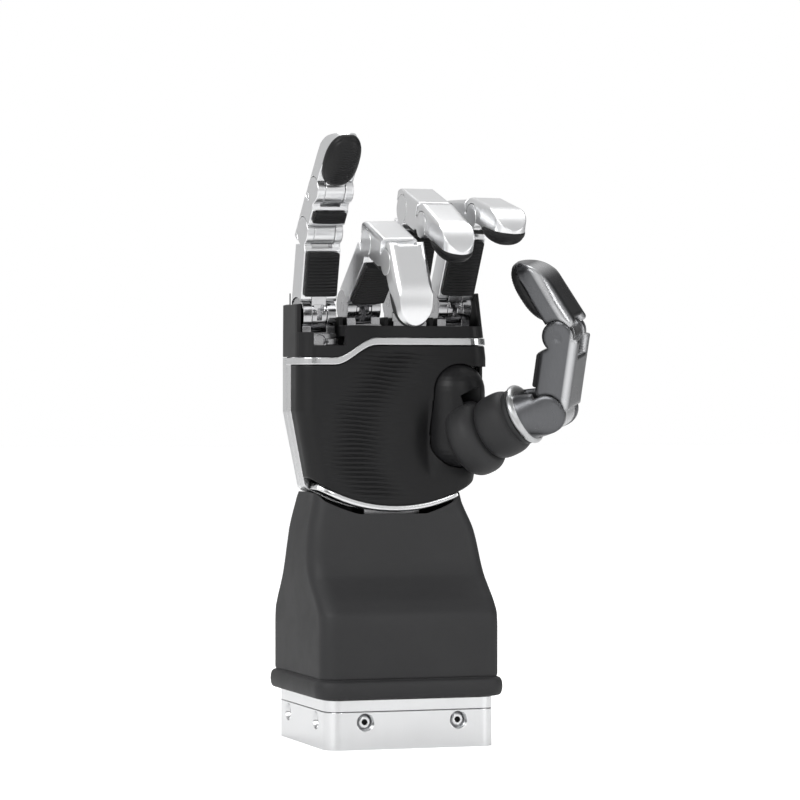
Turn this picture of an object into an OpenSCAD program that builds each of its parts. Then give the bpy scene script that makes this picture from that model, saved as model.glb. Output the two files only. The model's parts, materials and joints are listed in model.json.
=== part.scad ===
// Dexterous robot hand, a right hand: the palm faces -Y, the thumb is at +X and the fingers
// point along +Z. Millimetres. The origin is the centre of the face that bolts to the arm.
// Each joint turns the child by rotate([a, 0, 0]), so a positive angle bends toward the palm.

/* [Wrist housing] */
// Side of the square housing
housing_w = 78; // [74:1:80]
// Height of the housing up to its joint line
housing_h = 16.6; // [16:0.1:18]
// Corner radius of the housing
housing_r = 7; // [4:0.5:9]
// Top of the clamp ring that closes the housing
ring_top = 22; // [21:0.1:22]
// Wall of the housing
housing_wall = 4; // [3:0.5:5]
// Bolt circle of the arm flange
flange_pcd = 50; // [48:1:52]
// Clearance holes for the flange bolts
flange_hole_d = 6.6; // [5:0.1:7]
// Distance of the side screws from the middle of each side
screw_x = 21.5; // [15:0.5:26]
// Height of the side screws
screw_z = 12.1; // [11.5:0.1:12.6]

/* [Wrist] */
// Height of the centre of the wrist joint
wrist_z = 72; // [70:1:74]
// Diameter of the trunnions of the wrist cross
trunnion_d = 8; // [6:0.5:9]
// Side of the lower, square part of the boot
boot_w = 82.5; // [80:0.5:86]
// Top of the square part of the boot
boot_box_top = 62; // [56:1:66]
// Height where the boot passes from the housing's side to the palm's side
boot_split_z = 81; // [79:1:84]
// Thickness of the boot
boot_wall = 3; // [2:0.5:3]

/* [Palm] */
// Widest part of the palm
palm_w = 89; // [88:1:91]
// Middle of the palm's width
palm_x = -0.9; // [-1.5:0.1:0]
// Width of the palm at the wrist
palm_low_w = 69; // [66:1:72]
// Width of the palm at the knuckles
palm_top_w = 85; // [85:0.1:86]
// Middle of the palm's width at the knuckles
palm_top_x = -2.7; // [-2.8:0.1:-2.6]
// Front face of the palm
palm_front = -20; // [-21:0.5:-19.5]
// Back face of the palm
palm_back = 16; // [15:0.5:18]
// Lowest point of the palm's round lower edge
palm_low_z = 103; // [102:0.5:104]
// Radius of the palm's round lower edge
palm_arc_r = 72.6; // [68:0.2:80]
// Height of the silver trim on the little finger's side
trim_low_z = 170.2; // [168:0.1:171]
// Height of the silver trim over the other fingers
trim_high_z = 179.1; // [177:0.1:180]
// Height of the silver trim's face
trim_h = 3; // [2:0.1:4]

/* [Fingers] */
// Width of a finger
finger_w = 17; // [16:0.5:17]
// Back face of a finger, from its joint axes
finger_back = 8; // [7.8:0.1:8.4]
// Distance between neighbouring fingers
finger_pitch = 21.2; // [21:0.1:21.6]
// Middle of the row of fingers
finger_row_x = -2.6; // [-3:0.1:-2]
// Height of the first joint: little, ring, middle, index
knuckle_z = [191, 195, 197, 194.5]; // [188:0.5:200]
// Length of the proximal phalanx: little, ring, middle, index
proximal_l = [38, 44, 45, 45]; // [36:0.5:50]
// Length of the middle phalanx: little, ring, middle, index
middle_l = [22, 25.5, 25.5, 25.5]; // [21:0.5:30]
// Length of the distal phalanx: little, ring, middle, index
distal_l = [31, 30, 31, 31]; // [28:0.5:34]

/* [Rest pose] */
// Splay of each finger, positive toward the thumb
splay_rest = [-1, -2, 0, 0.5]; // [-3:0.5:3]
// Turn of each finger's bending plane toward the thumb
finger_turn = [5, 2.5, 2, 2]; // [0:0.5:5]
// Bend of the first joints: little, ring, middle, index
mcp_rest = [14, 52, 25, 29]; // [0:1:85]
// Bend of the middle joints
pip_rest = [24, 60, 84, 63]; // [0:1:95]
// Bend of the end joints
dip_rest = [2, 45, 6, 12]; // [0:1:50]
// Bend of the thumb's first visible joint
thumb_mcp_rest = 53; // [20:1:56]
// Bend of the thumb's end joint
thumb_ip_rest = 43; // [20:1:60]

/* [Thumb] */
// Centre of the flexion joint at the thumb's root
thumb_root = [35.2, -23.1, 136]; // [-40:0.1:150]
// Direction of the thumb's root, as three turns
thumb_tilt = [-65.5, 11.5, 229]; // [-180:0.5:360]
// Axis on which the thumb's carrier swings
thumb_swing = [29, -14]; // [-16:0.5:30]
// Radius of the carrier's round housing
carrier_r = 13; // [12:0.1:13.5]
// Width of the thumb
thumb_w = 19; // [18.5:0.5:20]
// Length from the root to the thumb's first visible joint
metacarpal_l = 39.5; // [39:0.5:41]
// Length of the thumb's proximal phalanx
thumb_proximal_l = 35.5; // [35:0.5:38]
// Length of the thumb's distal phalanx
thumb_distal_l = 37.5; // [37:0.5:40]

/* [Hidden] */
$fn = 48;
SILVER = "#d9dbdd";
STEEL = "#a4a8ad";
GUNMETAL = "#85888c";
BLACK = "#262627";
CHARCOAL = "#3b3b3c";

LITTLE = 0;
RING = 1;
MIDDLE = 2;
INDEX = 3;
finger_y = -4;
finger_x = [for (i = [0:3]) (i - 1.5) * finger_pitch + finger_row_x];
splay_drop = 12;           // the splay axis lies this far below the first joint
gap = 0.35;                // running clearance between bodies
pin_r = 2;
pin_gap = 0.05;            // radial clearance of a pin in the part that turns on it

// Joint discs and the lugs that run between a parent's cheeks
knuckle_w = 15.6;
knuckle_disc_r = 7.6;
knuckle_tongue_w = 6.8;
pip_disc_r = 6.2;
pip_lug_w = 9.6;
dip_disc_r = 5.7;
dip_lug_w = 9;
hood_back = 6.7;           // a phalanx's back runs this far behind its joint axis
parent_back = 7.3;         // and its parent's back stops this far before that axis
shell_wall = 1.7;
shell_side = -4.6;         // palm-side edge of a finger shell's walls
near_web = 1.95;           // from a shell's own disc to its hollow
far_web = 2.2;             // and from the hollow to the next disc

thumb_back = 9.5;
thumb_tip_back = 10.5;
thumb_side = -6.5;
thumb_mcp_disc_r = 8.6;
thumb_mcp_lug_w = 13.6;
thumb_ip_disc_r = 7;
thumb_ip_lug_w = 11;
thumb_mcp_y = 4.2;

palm_r = 9;                // radius of the palm's upright edges
palm_seam_y = -4;          // front edge of the silver frame
palm_mid_z = 148;
palm_cover_z = 204;
carrier_low_z = 122;
carrier_high_z = 170;

// ---------------------------------------------------------------- helpers

// Extrudes a drawing of (y, z) points along X, centred
module along_x(w) {
    rotate([90, 0, 90]) linear_extrude(w, center = true) children();
}

// Extrudes a drawing of (x, z) points from y0 to y1
module along_y(y0, y1) {
    translate([0, y1, 0]) rotate([90, 0, 0]) linear_extrude(y1 - y0) children();
}

// A cylinder along X, centred
module rod_x(r, w) {
    rotate([0, 90, 0]) cylinder(r = r, h = w, center = true);
}

// A cross bore that stays blind on one side: it opens on the side s
module blind_bore(w, s) {
    translate([s, 0, 0]) rod_x(pin_r, w);
}

// The pin for such a bore, pressed in from the side s
module cross_pin(w, s) {
    translate([s * 0.55, 0, 0]) rod_x(pin_r, w - 1.3);
}

// A cylinder along Y from y0 to y1
module rod_y(r, y0, y1) {
    translate([0, y1, 0]) rotate([90, 0, 0]) cylinder(r = r, h = y1 - y0);
}

// A box given by its lowest and highest corners
module span(low, high) {
    translate(low) cube(high - low);
}

// What a round of radius r takes off the corner at p; s points out of the corner
module corner_waste(p, r, s) {
    difference() {
        translate(p - s * r / 2) square(r + 0.02, center = true);
        translate(p - s * r) circle(r);
    }
}

// A rectangle with round corners, centred
module round_rect(w, d, r) {
    square([w, d - 2 * r], center = true);
    square([w - 2 * r, d], center = true);
    for (x = [-1, 1], y = [-1, 1])
        translate([x * (w / 2 - r), y * (d / 2 - r)]) circle(r);
}

module square_tube(w_out, w_in, r, z0, z1) {
    translate([0, 0, z0]) linear_extrude(z1 - z0) difference() {
        round_rect(w_out, w_out, r);
        round_rect(w_in, w_in, max(r - (w_out - w_in) / 2, 1));
    }
}

// ---------------------------------------------------------------- wrist housing

// Places its children at the two screws of each side, with +Z pointing out of the side
module at_side_screws() {
    for (turn = [0:90:270], x = [-1, 1])
        rotate([0, 0, turn]) translate([x * screw_x, -housing_w / 2, screw_z])
            rotate([90, 0, 0]) children();
}

screw_shank_r = 1.5;
screw_head_r = 2.4;
screw_sink = 3;            // depth of the screw head below the side
floor_z = 8;

module wrist_housing() {
    arm_in = 13;
    arm_out = 18.5;
    color(SILVER) difference() {
        union() {
            linear_extrude(floor_z) round_rect(housing_w, housing_w, housing_r);
            square_tube(housing_w, housing_w - 2 * housing_wall, housing_r, floor_z, housing_h);
            span([-arm_out, -11.5, floor_z - 0.1], [arm_out, 11.5, 46]);
            for (x = [-1, 1]) translate([x * (arm_in + arm_out) / 2, 0, 0]) {
                translate([-(arm_out - arm_in) / 2, -8, 45]) cube([arm_out - arm_in, 16, wrist_z - 45]);
                translate([0, 0, wrist_z]) rod_x(8, arm_out - arm_in);
            }
        }
        for (a = [45:90:315])
            rotate([0, 0, a]) translate([flange_pcd / 2, 0, -1]) cylinder(d = flange_hole_d, h = 20);
        translate([flange_pcd / 2, 0, -1]) cylinder(d = 6, h = 7);
        translate([0, 0, -1]) cylinder(d = 31.5, h = 4);
        translate([0, 0, -1]) cylinder(r = 6, h = 60);
        translate([0, 0, wrist_z]) rod_x(trunnion_d / 2 + pin_gap, 60);
        at_side_screws() {
            translate([0, 0, -screw_sink]) cylinder(r1 = 2.6, r2 = 4, h = screw_sink + 0.01);
            translate([0, 0, -housing_wall - 1]) cylinder(r = screw_shank_r + 0.1, h = 5);
        }
    }
}

module clamp_ring() {
    spigot_w = housing_w - 2 * housing_wall - 0.6;
    color(SILVER) difference() {
        union() {
            square_tube(housing_w, spigot_w - 9, housing_r, housing_h + 0.3, ring_top);
            square_tube(spigot_w, spigot_w - 9, 4, floor_z + 0.5, housing_h + 0.4);
        }
        at_side_screws() translate([0, 0, -12]) cylinder(r = screw_shank_r + 0.02, h = 12);
    }
}

module housing_screws() {
    color(STEEL) at_side_screws() difference() {
        union() {
            translate([0, 0, -screw_sink]) cylinder(r = screw_head_r, h = 1.4);
            translate([0, 0, -screw_sink - 5]) cylinder(r = screw_shank_r, h = 5);
        }
        translate([0, 0, -screw_sink + 0.5]) cylinder(r = 1.35, h = 2, $fn = 6);
    }
}

// ---------------------------------------------------------------- wrist boot and cross

// A flat slab with round corners, for the boot's hulls
module slab(w, y0, y1, r, z) {
    translate([0, (y0 + y1) / 2, z]) linear_extrude(0.01) hull()
        for (x = [-1, 1], y = [-1, 1])
            translate([x * (w / 2 - r), y * ((y1 - y0) / 2 - r)]) circle(r, $fn = 32);
}

neck_y = 24;
// Width of the boot and middle of that width at its split, half way up the cuff and at its top
neck = [[78, -1.2], [75.2, -2], [61, -4.3]];
bead_w = boot_w + 4.4;
bead_z = [ring_top + 0.3, ring_top + 8.5];

// One slab of the boot's neck, thinner all round by t
module neck_slab(k, y0, y1, t, r, z) {
    translate([neck[k][1], 0, 0]) slab(neck[k][0] - 2 * t, y0 + t, y1 - t, r, z);
}

// The boot's upper part from its split to the palm, thinner all round by t
module cuff_form(t, z0, z1) {
    hull() {
        neck_slab(0, -neck_y, neck_y, t, housing_r, z0);
        neck_slab(1, palm_front - 2.2, palm_back + 4.4, t, housing_r, 94);
        neck_slab(2, palm_front - 0.5, palm_back + 2.5, t, housing_r, z1);
    }
}

module wrist_boot() {
    inner_w = boot_w - 2 * boot_wall;
    color(CHARCOAL) difference() {
        union() {
            hull() {
                slab(boot_w, -boot_w / 2, boot_w / 2, housing_r, bead_z[0]);
                slab(boot_w, -boot_w / 2, boot_w / 2, housing_r, boot_box_top);
                neck_slab(0, -neck_y, neck_y, 0, housing_r, boot_split_z);
            }
            translate([0, 0, bead_z[0]]) linear_extrude(bead_z[1] - bead_z[0])
                round_rect(bead_w, bead_w, housing_r + 2);
        }
        hull() {
            slab(inner_w, -inner_w / 2, inner_w / 2, 4, bead_z[0] - 1);
            slab(inner_w, -inner_w / 2, inner_w / 2, 4, boot_box_top - 2);
            neck_slab(0, -neck_y, neck_y, boot_wall, 4, boot_split_z + 0.1);
        }
    }
}

module wrist_cuff() {
    color(CHARCOAL) difference() {
        cuff_form(0, boot_split_z + gap, 116);
        cuff_form(boot_wall, boot_split_z, 117);
        translate([0, 0, palm_low_z + palm_arc_r]) rod_y(palm_arc_r + gap, -60, 60);
    }
}

module wrist_cross() {
    color(STEEL) translate([0, 0, wrist_z]) {
        rod_x(trunnion_d / 2, 36);
        rod_y(trunnion_d / 2, -15, 15);
        rod_x(7.5, 18);
        rod_y(7.5, -9, 9);
    }
}

// ---------------------------------------------------------------- palm

// The palm's outer form, smaller all round by t, open-ended above and below
module palm_form(t) {
    hull() {
        palm_slab(palm_x, palm_low_w, palm_front + 2, palm_back - 2, t, 96);
        palm_slab(palm_x, palm_w, palm_front, palm_back, t, palm_mid_z);
        palm_slab(palm_x, palm_w, palm_front, palm_back, t, palm_mid_z + 24);
        palm_slab(palm_top_x, palm_top_w, palm_front, palm_back, t, palm_cover_z);
    }
}

module palm_slab(x, w, y0, y1, t, z) {
    translate([x, 0, 0]) slab(w - 2 * t, y0 + t, y1 - t, palm_r - t, z);
}

// Everything inside the palm's round lower edge, smaller by t
module palm_arc(t) {
    translate([0, 0, palm_low_z + palm_arc_r]) rod_y(palm_arc_r - t, -60, 60);
}

// Height of the trim's middle line at x: level, an S, then level
trim_s = [-30, -10];
function trim_z(x) =
    let (u = min(max((x - trim_s[0]) / (trim_s[1] - trim_s[0]), 0), 1))
    trim_low_z + (trim_high_z - trim_low_z) * (1 - cos(180 * u)) / 2;
trim_x = concat([-60], [for (x = [trim_s[0]:2:trim_s[1]]) x], [60]);

// The drawing between the trim's line moved by low and the line moved by high
module trim_zone(low, high) {
    polygon(concat([for (x = trim_x) [x, trim_z(x) + low]],
        [for (i = [len(trim_x) - 1:-1:0]) [trim_x[i], trim_z(trim_x[i]) + high]]));
}

// Room for the thumb's round carrier
module carrier_room() {
    translate([thumb_swing.x, thumb_swing.y, carrier_low_z - 0.6])
        cylinder(r = carrier_r + 0.6, h = carrier_high_z - carrier_low_z + 1.2);
}

// Room for the bearings of the carrier and their arms
module bearing_room() {
    translate([thumb_swing.x, thumb_swing.y, carrier_low_z - 6]) {
        cylinder(r = 5.2, h = carrier_high_z - carrier_low_z + 12);
        span([-5.2, -1, 0], [4.8, 24, carrier_high_z - carrier_low_z + 12]);
    }
}

// Room for the carrier and for the stem that joins the palm to the wrist
module palm_rooms() {
    carrier_room();
    span([-13.4, -10.4, 90], [13.4, 8.4, 125]);
}

stem_x = 13;

module palm_chassis() {
    plate_y = [3, 8];
    bearing_w = 10;
    color(STEEL) difference() {
        union() {
            span([-33, plate_y[0], 123], [33, plate_y[1], 172]);
            span([-36, plate_y[0], 164], [36, plate_y[1], 176]);
            for (i = [0:3]) translate([finger_x[i], finger_y, knuckle_z[i] - splay_drop]) {
                span([-5.5, plate_y[0] - finger_y, -14], [5.5, plate_y[1] - finger_y, 3.4]);
                rotate([0, 0, finger_turn[i]]) rod_y(3, -6.5, plate_y[0] - finger_y + 2);
            }
            span([-stem_x, -10, 97], [stem_x, plate_y[1], 124]);
            for (y = [-1, 1]) translate([0, y * 12.5, 0]) {
                span([-7, -2.5, wrist_z], [7, 2.5, 101]);
                translate([0, 0, wrist_z]) rod_y(7, -2.5, 2.5);
            }
            span([-9, -15, 97], [9, 15, 101]);
            for (z = [carrier_low_z - 5.6, carrier_high_z + 0.8])
                translate([thumb_swing.x, thumb_swing.y, z])
                    span([-bearing_w / 2, -1, 0], [bearing_w / 2 - 0.6, plate_y[1] - thumb_swing.y, 4.8]);
            for (z = [carrier_low_z - 5.6, carrier_high_z + 0.8])
                translate([thumb_swing.x, thumb_swing.y, z]) cylinder(r = 4.9, h = 4.8);
            span([10, plate_y[0], carrier_low_z - 5.6], [33, plate_y[1], 124]);
        }
        translate([0, 0, wrist_z]) rod_y(trunnion_d / 2 + pin_gap, -30, 30);
        translate([thumb_swing.x, thumb_swing.y, 100]) cylinder(r = 3 + pin_gap, h = 80);
        carrier_room();
        for (x = [-20, 2]) translate([x, 0, 148]) span([-8, 0, -18], [8, 20, 18]);
    }
}

module palm_frame() {
    color(SILVER) difference() {
        union() {
            intersection() {
                difference() {
                    palm_form(0);
                    intersection() {
                        palm_form(3.5);
                        palm_arc(3.5);
                    }
                }
                along_y(palm_seam_y, 1.8) trim_zone(-200, 0);
                palm_arc(0);
            }
            intersection() {
                difference() {
                    palm_form(-0.5);
                    palm_form(2);
                }
                along_y(palm_front - 2, 1.8) trim_zone(-trim_h / 2, trim_h / 2);
            }
        }
        palm_rooms();
    }
}

module palm_pad() {
    color(BLACK) difference() {
        intersection() {
            palm_form(0);
            along_y(palm_front - 2, palm_seam_y - 0.3) trim_zone(-200, -trim_h / 2 - 0.3);
            palm_arc(3);
        }
        intersection() {
            palm_form(3.4);
            palm_arc(6);
        }
        palm_rooms();
        bearing_room();
        span([33, -60, carrier_low_z - 0.6], [60, -8.3, carrier_high_z + 0.6]);
    }
}

module back_cover() {
    color(SILVER) difference() {
        intersection() {
            palm_form(0);
            span([-60, 2.1, 90], [60, 30, 172]);
            palm_arc(0);
        }
        intersection() {
            palm_form(2.5);
            palm_arc(2.5);
        }
        palm_rooms();
    }
}

// The black cover round the knuckles, with a low pocket before the little finger
module knuckle_cover() {
    wall = 1.5;
    front_top = 186;
    ear_top = [196, 201];
    back_top = 190;
    ear_front = -13.5;
    pocket_z = 177.2;
    pocket_x = (finger_x[0] + finger_x[1]) / 2;
    ear_x = [palm_top_x - palm_top_w / 2 + 5, palm_top_x + palm_top_w / 2 - 1.3];
    color(BLACK) difference() {
        union() {
            intersection() {
                difference() {
                    palm_form(0);
                    palm_form(wall);
                }
                union() {
                    along_y(palm_front - 2, 2) trim_zone(trim_h / 2 + 0.3, 60);
                    span([-60, 2, 172.3], [60, 30, 210]);
                }
                along_y(-40, 40) cover_outline(ear_top, ear_x);
            }
            for (i = [0:2]) translate([(finger_x[i] + finger_x[i + 1]) / 2, 0, 0])
                span([-0.9, palm_front + 1, 181.2], [0.9, 2.5, 190]);
        }
        span([ear_x[0], palm_front - 5, front_top], [ear_x[1], palm_front + 10, 230]);
        span([ear_x[0], palm_front - 5, back_top], [ear_x[1], 30, 230]);
        span([-60, palm_front - 5, front_top], [60, ear_front, 230]);
        span([-60, palm_front - 5, front_top - 3], [ear_x[0] + 1.1, ear_front, 230]);
        span([ear_x[0] + 1, palm_front - 5, pocket_z], [pocket_x - 0.95, palm_front + 10, 230]);
        // room for the outer fingers' shells at their widest splay
        span([ear_x[1] - 0.1, palm_front, 190], [ear_x[1] + 0.6, -8, 210]);
        span([ear_x[0] - 4, -4, 186], [ear_x[0] - 3, 8, 210]);
    }
}

// Front view of the cover's ears: each slopes inward to a round top
module cover_outline(ear_top, ear_x) {
    for (k = [0, 1]) intersection() {
        s = k == 0 ? -1 : 1;
        translate([ear_x[k] - 0.1, ear_top[k] - 16]) ear_shape(s);
        translate([-80, 0]) square([160, ear_top[k]]);
    }
    translate([-80, 0]) square([160, ear_top[0] - 8]);
    translate([ear_x[0] - 0.1, 0]) square([ear_x[1] - ear_x[0] + 0.2, ear_top[1]]);
}

// An ear seen from the front: a quarter disc on a block; s is its side
module ear_shape(s) {
    intersection() {
        circle(16);
        translate([s > 0 ? 0 : -16, 0]) square([16, 16]);
    }
    translate([s > 0 ? 0 : -16, -40]) square([16, 40.01]);
}

// ---------------------------------------------------------------- finger frames

module at_knuckle(i) {
    translate([finger_x[i], finger_y, knuckle_z[i] - splay_drop])
        rotate([0, 0, finger_turn[i]]) rotate([0, splay_rest[i], 0])
            translate([0, 0, splay_drop]) children();
}

module at_proximal(i) {
    at_knuckle(i) rotate([mcp_rest[i], 0, 0]) children();
}

module at_middle(i) {
    at_proximal(i) translate([0, 0, proximal_l[i]]) rotate([pip_rest[i], 0, 0]) children();
}

module at_distal(i) {
    at_middle(i) translate([0, 0, middle_l[i]]) rotate([dip_rest[i], 0, 0]) children();
}

// ---------------------------------------------------------------- phalanx forms

// Cross-section of a phalanx: flat back with small rounds, open side toward the palm
module phalanx_section(w, back, side, r = 2.2) {
    translate([-w / 2, side]) square([w, back - side - r]);
    translate([-w / 2 + r, side]) square([w - 2 * r, back - side]);
    for (x = [-1, 1]) translate([x * (w / 2 - r), back - r]) circle(r);
}

// Side view of a proximal or middle shell, in (y, z). A hood covers its own joint from
// behind, and a disc at the far end carries the next one.
module phalanx_side(l, back, side, near_r, far_r, hood, back_l) {
    difference() {
        union() {
            polygon([[2.4, -hood], [back, -hood], [back, back_l], [1.6, back_l],
                [1.6, l], [-3.5, l], [-3.5, l - 6], [side, l - 8], [side, near_r + 0.7], [0, 0]]);
            translate([0, l]) circle(far_r);
        }
        circle(near_r + gap);
        corner_waste([back, -hood], 2.2, [1, -1]);
        corner_waste([back, back_l], 1, [1, 1]);
    }
}

// Hollow shell of a proximal or middle phalanx with the slot for the next lug. Its back
// runs up to back_l, and the bore for the next pin opens on the side s.
module phalanx_shell(w, l, back, side, near_r, far_r, far_lug_w, hood, back_l, s) {
    difference() {
        intersection() {
            along_x(w) phalanx_side(l, back, side, near_r, far_r, hood, back_l);
            translate([0, 0, -20]) linear_extrude(l + 40) phalanx_section(w, back, -far_r - 3);
        }
        span([-w / 2 + shell_wall, side - 5, near_r + near_web],
            [w / 2 - shell_wall, back - shell_wall, l - far_r - far_web]);
        span([-far_lug_w / 2 - 0.2, -20, l - far_r - 0.7], [far_lug_w / 2 + 0.2, 20, l + 20]);
        translate([0, 0, l]) blind_bore(w, s);
    }
}

// The lug on which a phalanx turns between its parent's cheeks
module lug(w, r, bore_r, beam = 9.6) {
    difference() {
        union() {
            rod_x(r - 0.3, w);
            span([-w / 2, -2.6, 0], [w / 2, 3.8, beam]);
        }
        rod_x(bore_r, w + 2);
    }
}

// Side view of a fingertip's shell: the back curves down to the tip
module distal_side(l, back, near_r, bow_r, hood) {
    bow_z = l - sqrt(bow_r * bow_r - pow(bow_r - back, 2));
    difference() {
        intersection() {
            polygon([[2.4, -hood], [back, -hood], [back, l], [-1.5, l], [-1.5, 5.5], [0, 0]]);
            union() {
                translate([-50, -50]) square([100, 50 + bow_z]);
                translate([back - bow_r, bow_z]) circle(bow_r);
            }
        }
        circle(near_r + gap);
        corner_waste([back, -hood], 3, [1, -1]);
    }
}

// Front view of a fingertip: straight sides that run smoothly into a round tip
module distal_front(w, l, tip_r) {
    lean_z = l * 0.35;
    rise = l - tip_r - lean_z;
    reach = sqrt(w * w / 4 + rise * rise);
    start = acos(tip_r / reach) - atan2(rise, w / 2);
    steps = 20;
    polygon(concat([[-w / 2, lean_z], [-w / 2, -20], [w / 2, -20], [w / 2, lean_z]],
        [for (i = [0:steps]) let (a = start + (180 - 2 * start) * i / steps)
            [tip_r * cos(a), l - tip_r + tip_r * sin(a)]]));
}

module distal_shell(w, l, back, near_r, lug_w, bow_r, tip_r, hood) {
    difference() {
        intersection() {
            along_x(w) distal_side(l, back, near_r, bow_r, hood);
            translate([0, 0, -20]) linear_extrude(l + 40) phalanx_section(w, back, -6, 3);
            along_y(-30, 30) distal_front(w, l, tip_r);
        }
        span([-w / 2 + 2.2, -5, 9], [w / 2 - 2.2, back * 0.5, l * 0.62]);
        // window over the joint's link, open to the back
        span([-lug_w / 2, back - 5, -hood - 1], [lug_w / 2, back + 1, -hood + 2.6]);
    }
    lug(lug_w, near_r, pin_r + pin_gap, 9.1);
}

// Soft pad of a fingertip: a lens that stands out of the shell toward the palm
module tip_pad(w, l, depth, tip_r, near_r, lug_w) {
    bulge_r = (l * l / 4 + depth * depth) / (2 * depth) + 1.5;
    intersection() {
        along_x(w) intersection() {
            translate([bulge_r - depth, l * 0.54]) circle(bulge_r);
            polygon([[-1.8, near_r + 0.8], [-12, near_r + 6], [-12, l], [-1.8, l]]);
        }
        along_y(-30, 30) distal_front(w - 0.4, l, tip_r - 0.2);
        difference() {
            span([-w, -20, 0], [w, 5, l + 1]);
            span([-lug_w / 2 - 0.15, -2.8, 0], [lug_w / 2 + 0.15, 5, 9.3]);
        }
    }
}

// Soft pad between a shell's side walls
module side_pad(w, z0, z1, y0, y1) {
    r = min(2.5, (z1 - z0) / 2 - 0.2);
    difference() {
        along_y(y0, y1) translate([0, (z0 + z1) / 2]) round_rect(w, z1 - z0, r);
        for (x = [-1, 1]) translate([x * w / 2, y0, 0]) rotate([0, 0, 45])
            span([-1, -1, z0 - 1], [1, 1, z1 + 1]);
    }
}

// ---------------------------------------------------------------- finger pieces

module knuckle(i) {
    bridge_w = knuckle_w;
    color(STEEL) at_knuckle(i) difference() {
        union() {
            rod_x(knuckle_disc_r, bridge_w);
            span([-bridge_w / 2, -5.5, -10], [bridge_w / 2, 5.5, 0]);
            span([-bridge_w / 2, -7, -15.6], [bridge_w / 2, 6, -8.6]);
            span([-bridge_w / 2, -9.4, -13.6], [bridge_w / 2, -6, -11]);
        }
        span([-knuckle_tongue_w / 2 - 0.3, -20, -knuckle_disc_r - 0.5],
            [knuckle_tongue_w / 2 + 0.3, 20, 20]);
        rod_x(pin_r + pin_gap, finger_w + 2);
        translate([0, 0, -splay_drop]) rod_y(3 + pin_gap, -20, 20);
        span([-2.4, -12, -14], [2.4, -7, -10]);
    }
}

module proximal_frame(i) {
    l = proximal_l[i];
    color(STEEL) at_proximal(i) difference() {
        union() {
            rod_x(knuckle_disc_r - 0.3, knuckle_tongue_w);
            span([-knuckle_tongue_w / 2, -5, 0], [knuckle_tongue_w / 2, 4.6, 9.5]);
            span([-knuckle_tongue_w / 2, -2.4, 9], [knuckle_tongue_w / 2, 4.6, 10]);
            span([-6, -2.4, knuckle_disc_r + near_web + 0.1],
                [6, 4.6, l - pip_disc_r - far_web - 0.1]);
        }
        rod_x(pin_r, finger_w);
        // T-shaped slot in the tongue's face
        span([-1.1, -9, -1], [1.1, -4, 4.6]);
        span([-2.3, -9, 3.2], [2.3, -4, 5.6]);
    }
}

module proximal_shell(i) {
    color(SILVER) at_proximal(i) difference() {
        phalanx_shell(finger_w, proximal_l[i], finger_back, shell_side, knuckle_disc_r,
            pip_disc_r, pip_lug_w, -2, proximal_l[i] - parent_back, 1);
        span([-knuckle_tongue_w / 2 - 0.05, -5.1, 0], [knuckle_tongue_w / 2 + 0.05, 4.7, 12]);
    }
}

module proximal_pad(i) {
    color(BLACK) at_proximal(i) side_pad(finger_w - 2 * shell_wall - 0.2,
        knuckle_disc_r + near_web + 0.15, proximal_l[i] - pip_disc_r - far_web - 0.15, -7.5, -2.6);
}

module proximal_pins(i) {
    color(STEEL) at_proximal(i) {
        rod_x(pin_r, knuckle_w);
        translate([0, 0, proximal_l[i]]) cross_pin(finger_w, 1);
    }
}

module middle_shell(i) {
    color(SILVER) at_middle(i) {
        phalanx_shell(finger_w, middle_l[i], finger_back, shell_side, pip_disc_r, dip_disc_r,
            dip_lug_w, hood_back, middle_l[i] - parent_back, 1);
        lug(pip_lug_w, pip_disc_r, pin_r + pin_gap);
    }
}

module middle_pad(i) {
    color(BLACK) at_middle(i) side_pad(finger_w - 2 * shell_wall - 0.2,
        pip_disc_r + near_web + 0.15, middle_l[i] - dip_disc_r - far_web - 0.15, -7, -2.8);
}

module dip_pin(i) {
    color(STEEL) at_middle(i) translate([0, 0, middle_l[i]]) cross_pin(finger_w, 1);
}

module finger_distal_shell(i) {
    color(SILVER) at_distal(i) distal_shell(finger_w, distal_l[i], finger_back, dip_disc_r,
        dip_lug_w, 22, 7.2, hood_back);
}

module fingertip_pad(i) {
    color(BLACK) at_distal(i) tip_pad(finger_w, distal_l[i], 8, 7.2, dip_disc_r,
        dip_lug_w);
}

// ---------------------------------------------------------------- thumb frames

module at_metacarpal() {
    translate(thumb_root) rotate(thumb_tilt) children();
}

module at_thumb_proximal() {
    at_metacarpal() translate([0, thumb_mcp_y, metacarpal_l]) rotate([thumb_mcp_rest, 0, 0])
        children();
}

module at_thumb_distal() {
    at_thumb_proximal() translate([0, 0, thumb_proximal_l]) rotate([thumb_ip_rest, 0, 0])
        children();
}

// ---------------------------------------------------------------- thumb pieces

rim_z = 25;                // lower face of the chromed rim over the bellows
root_disc_r = 6;
root_tongue_w = 8;
root_pin_r = 2.5;

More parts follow.
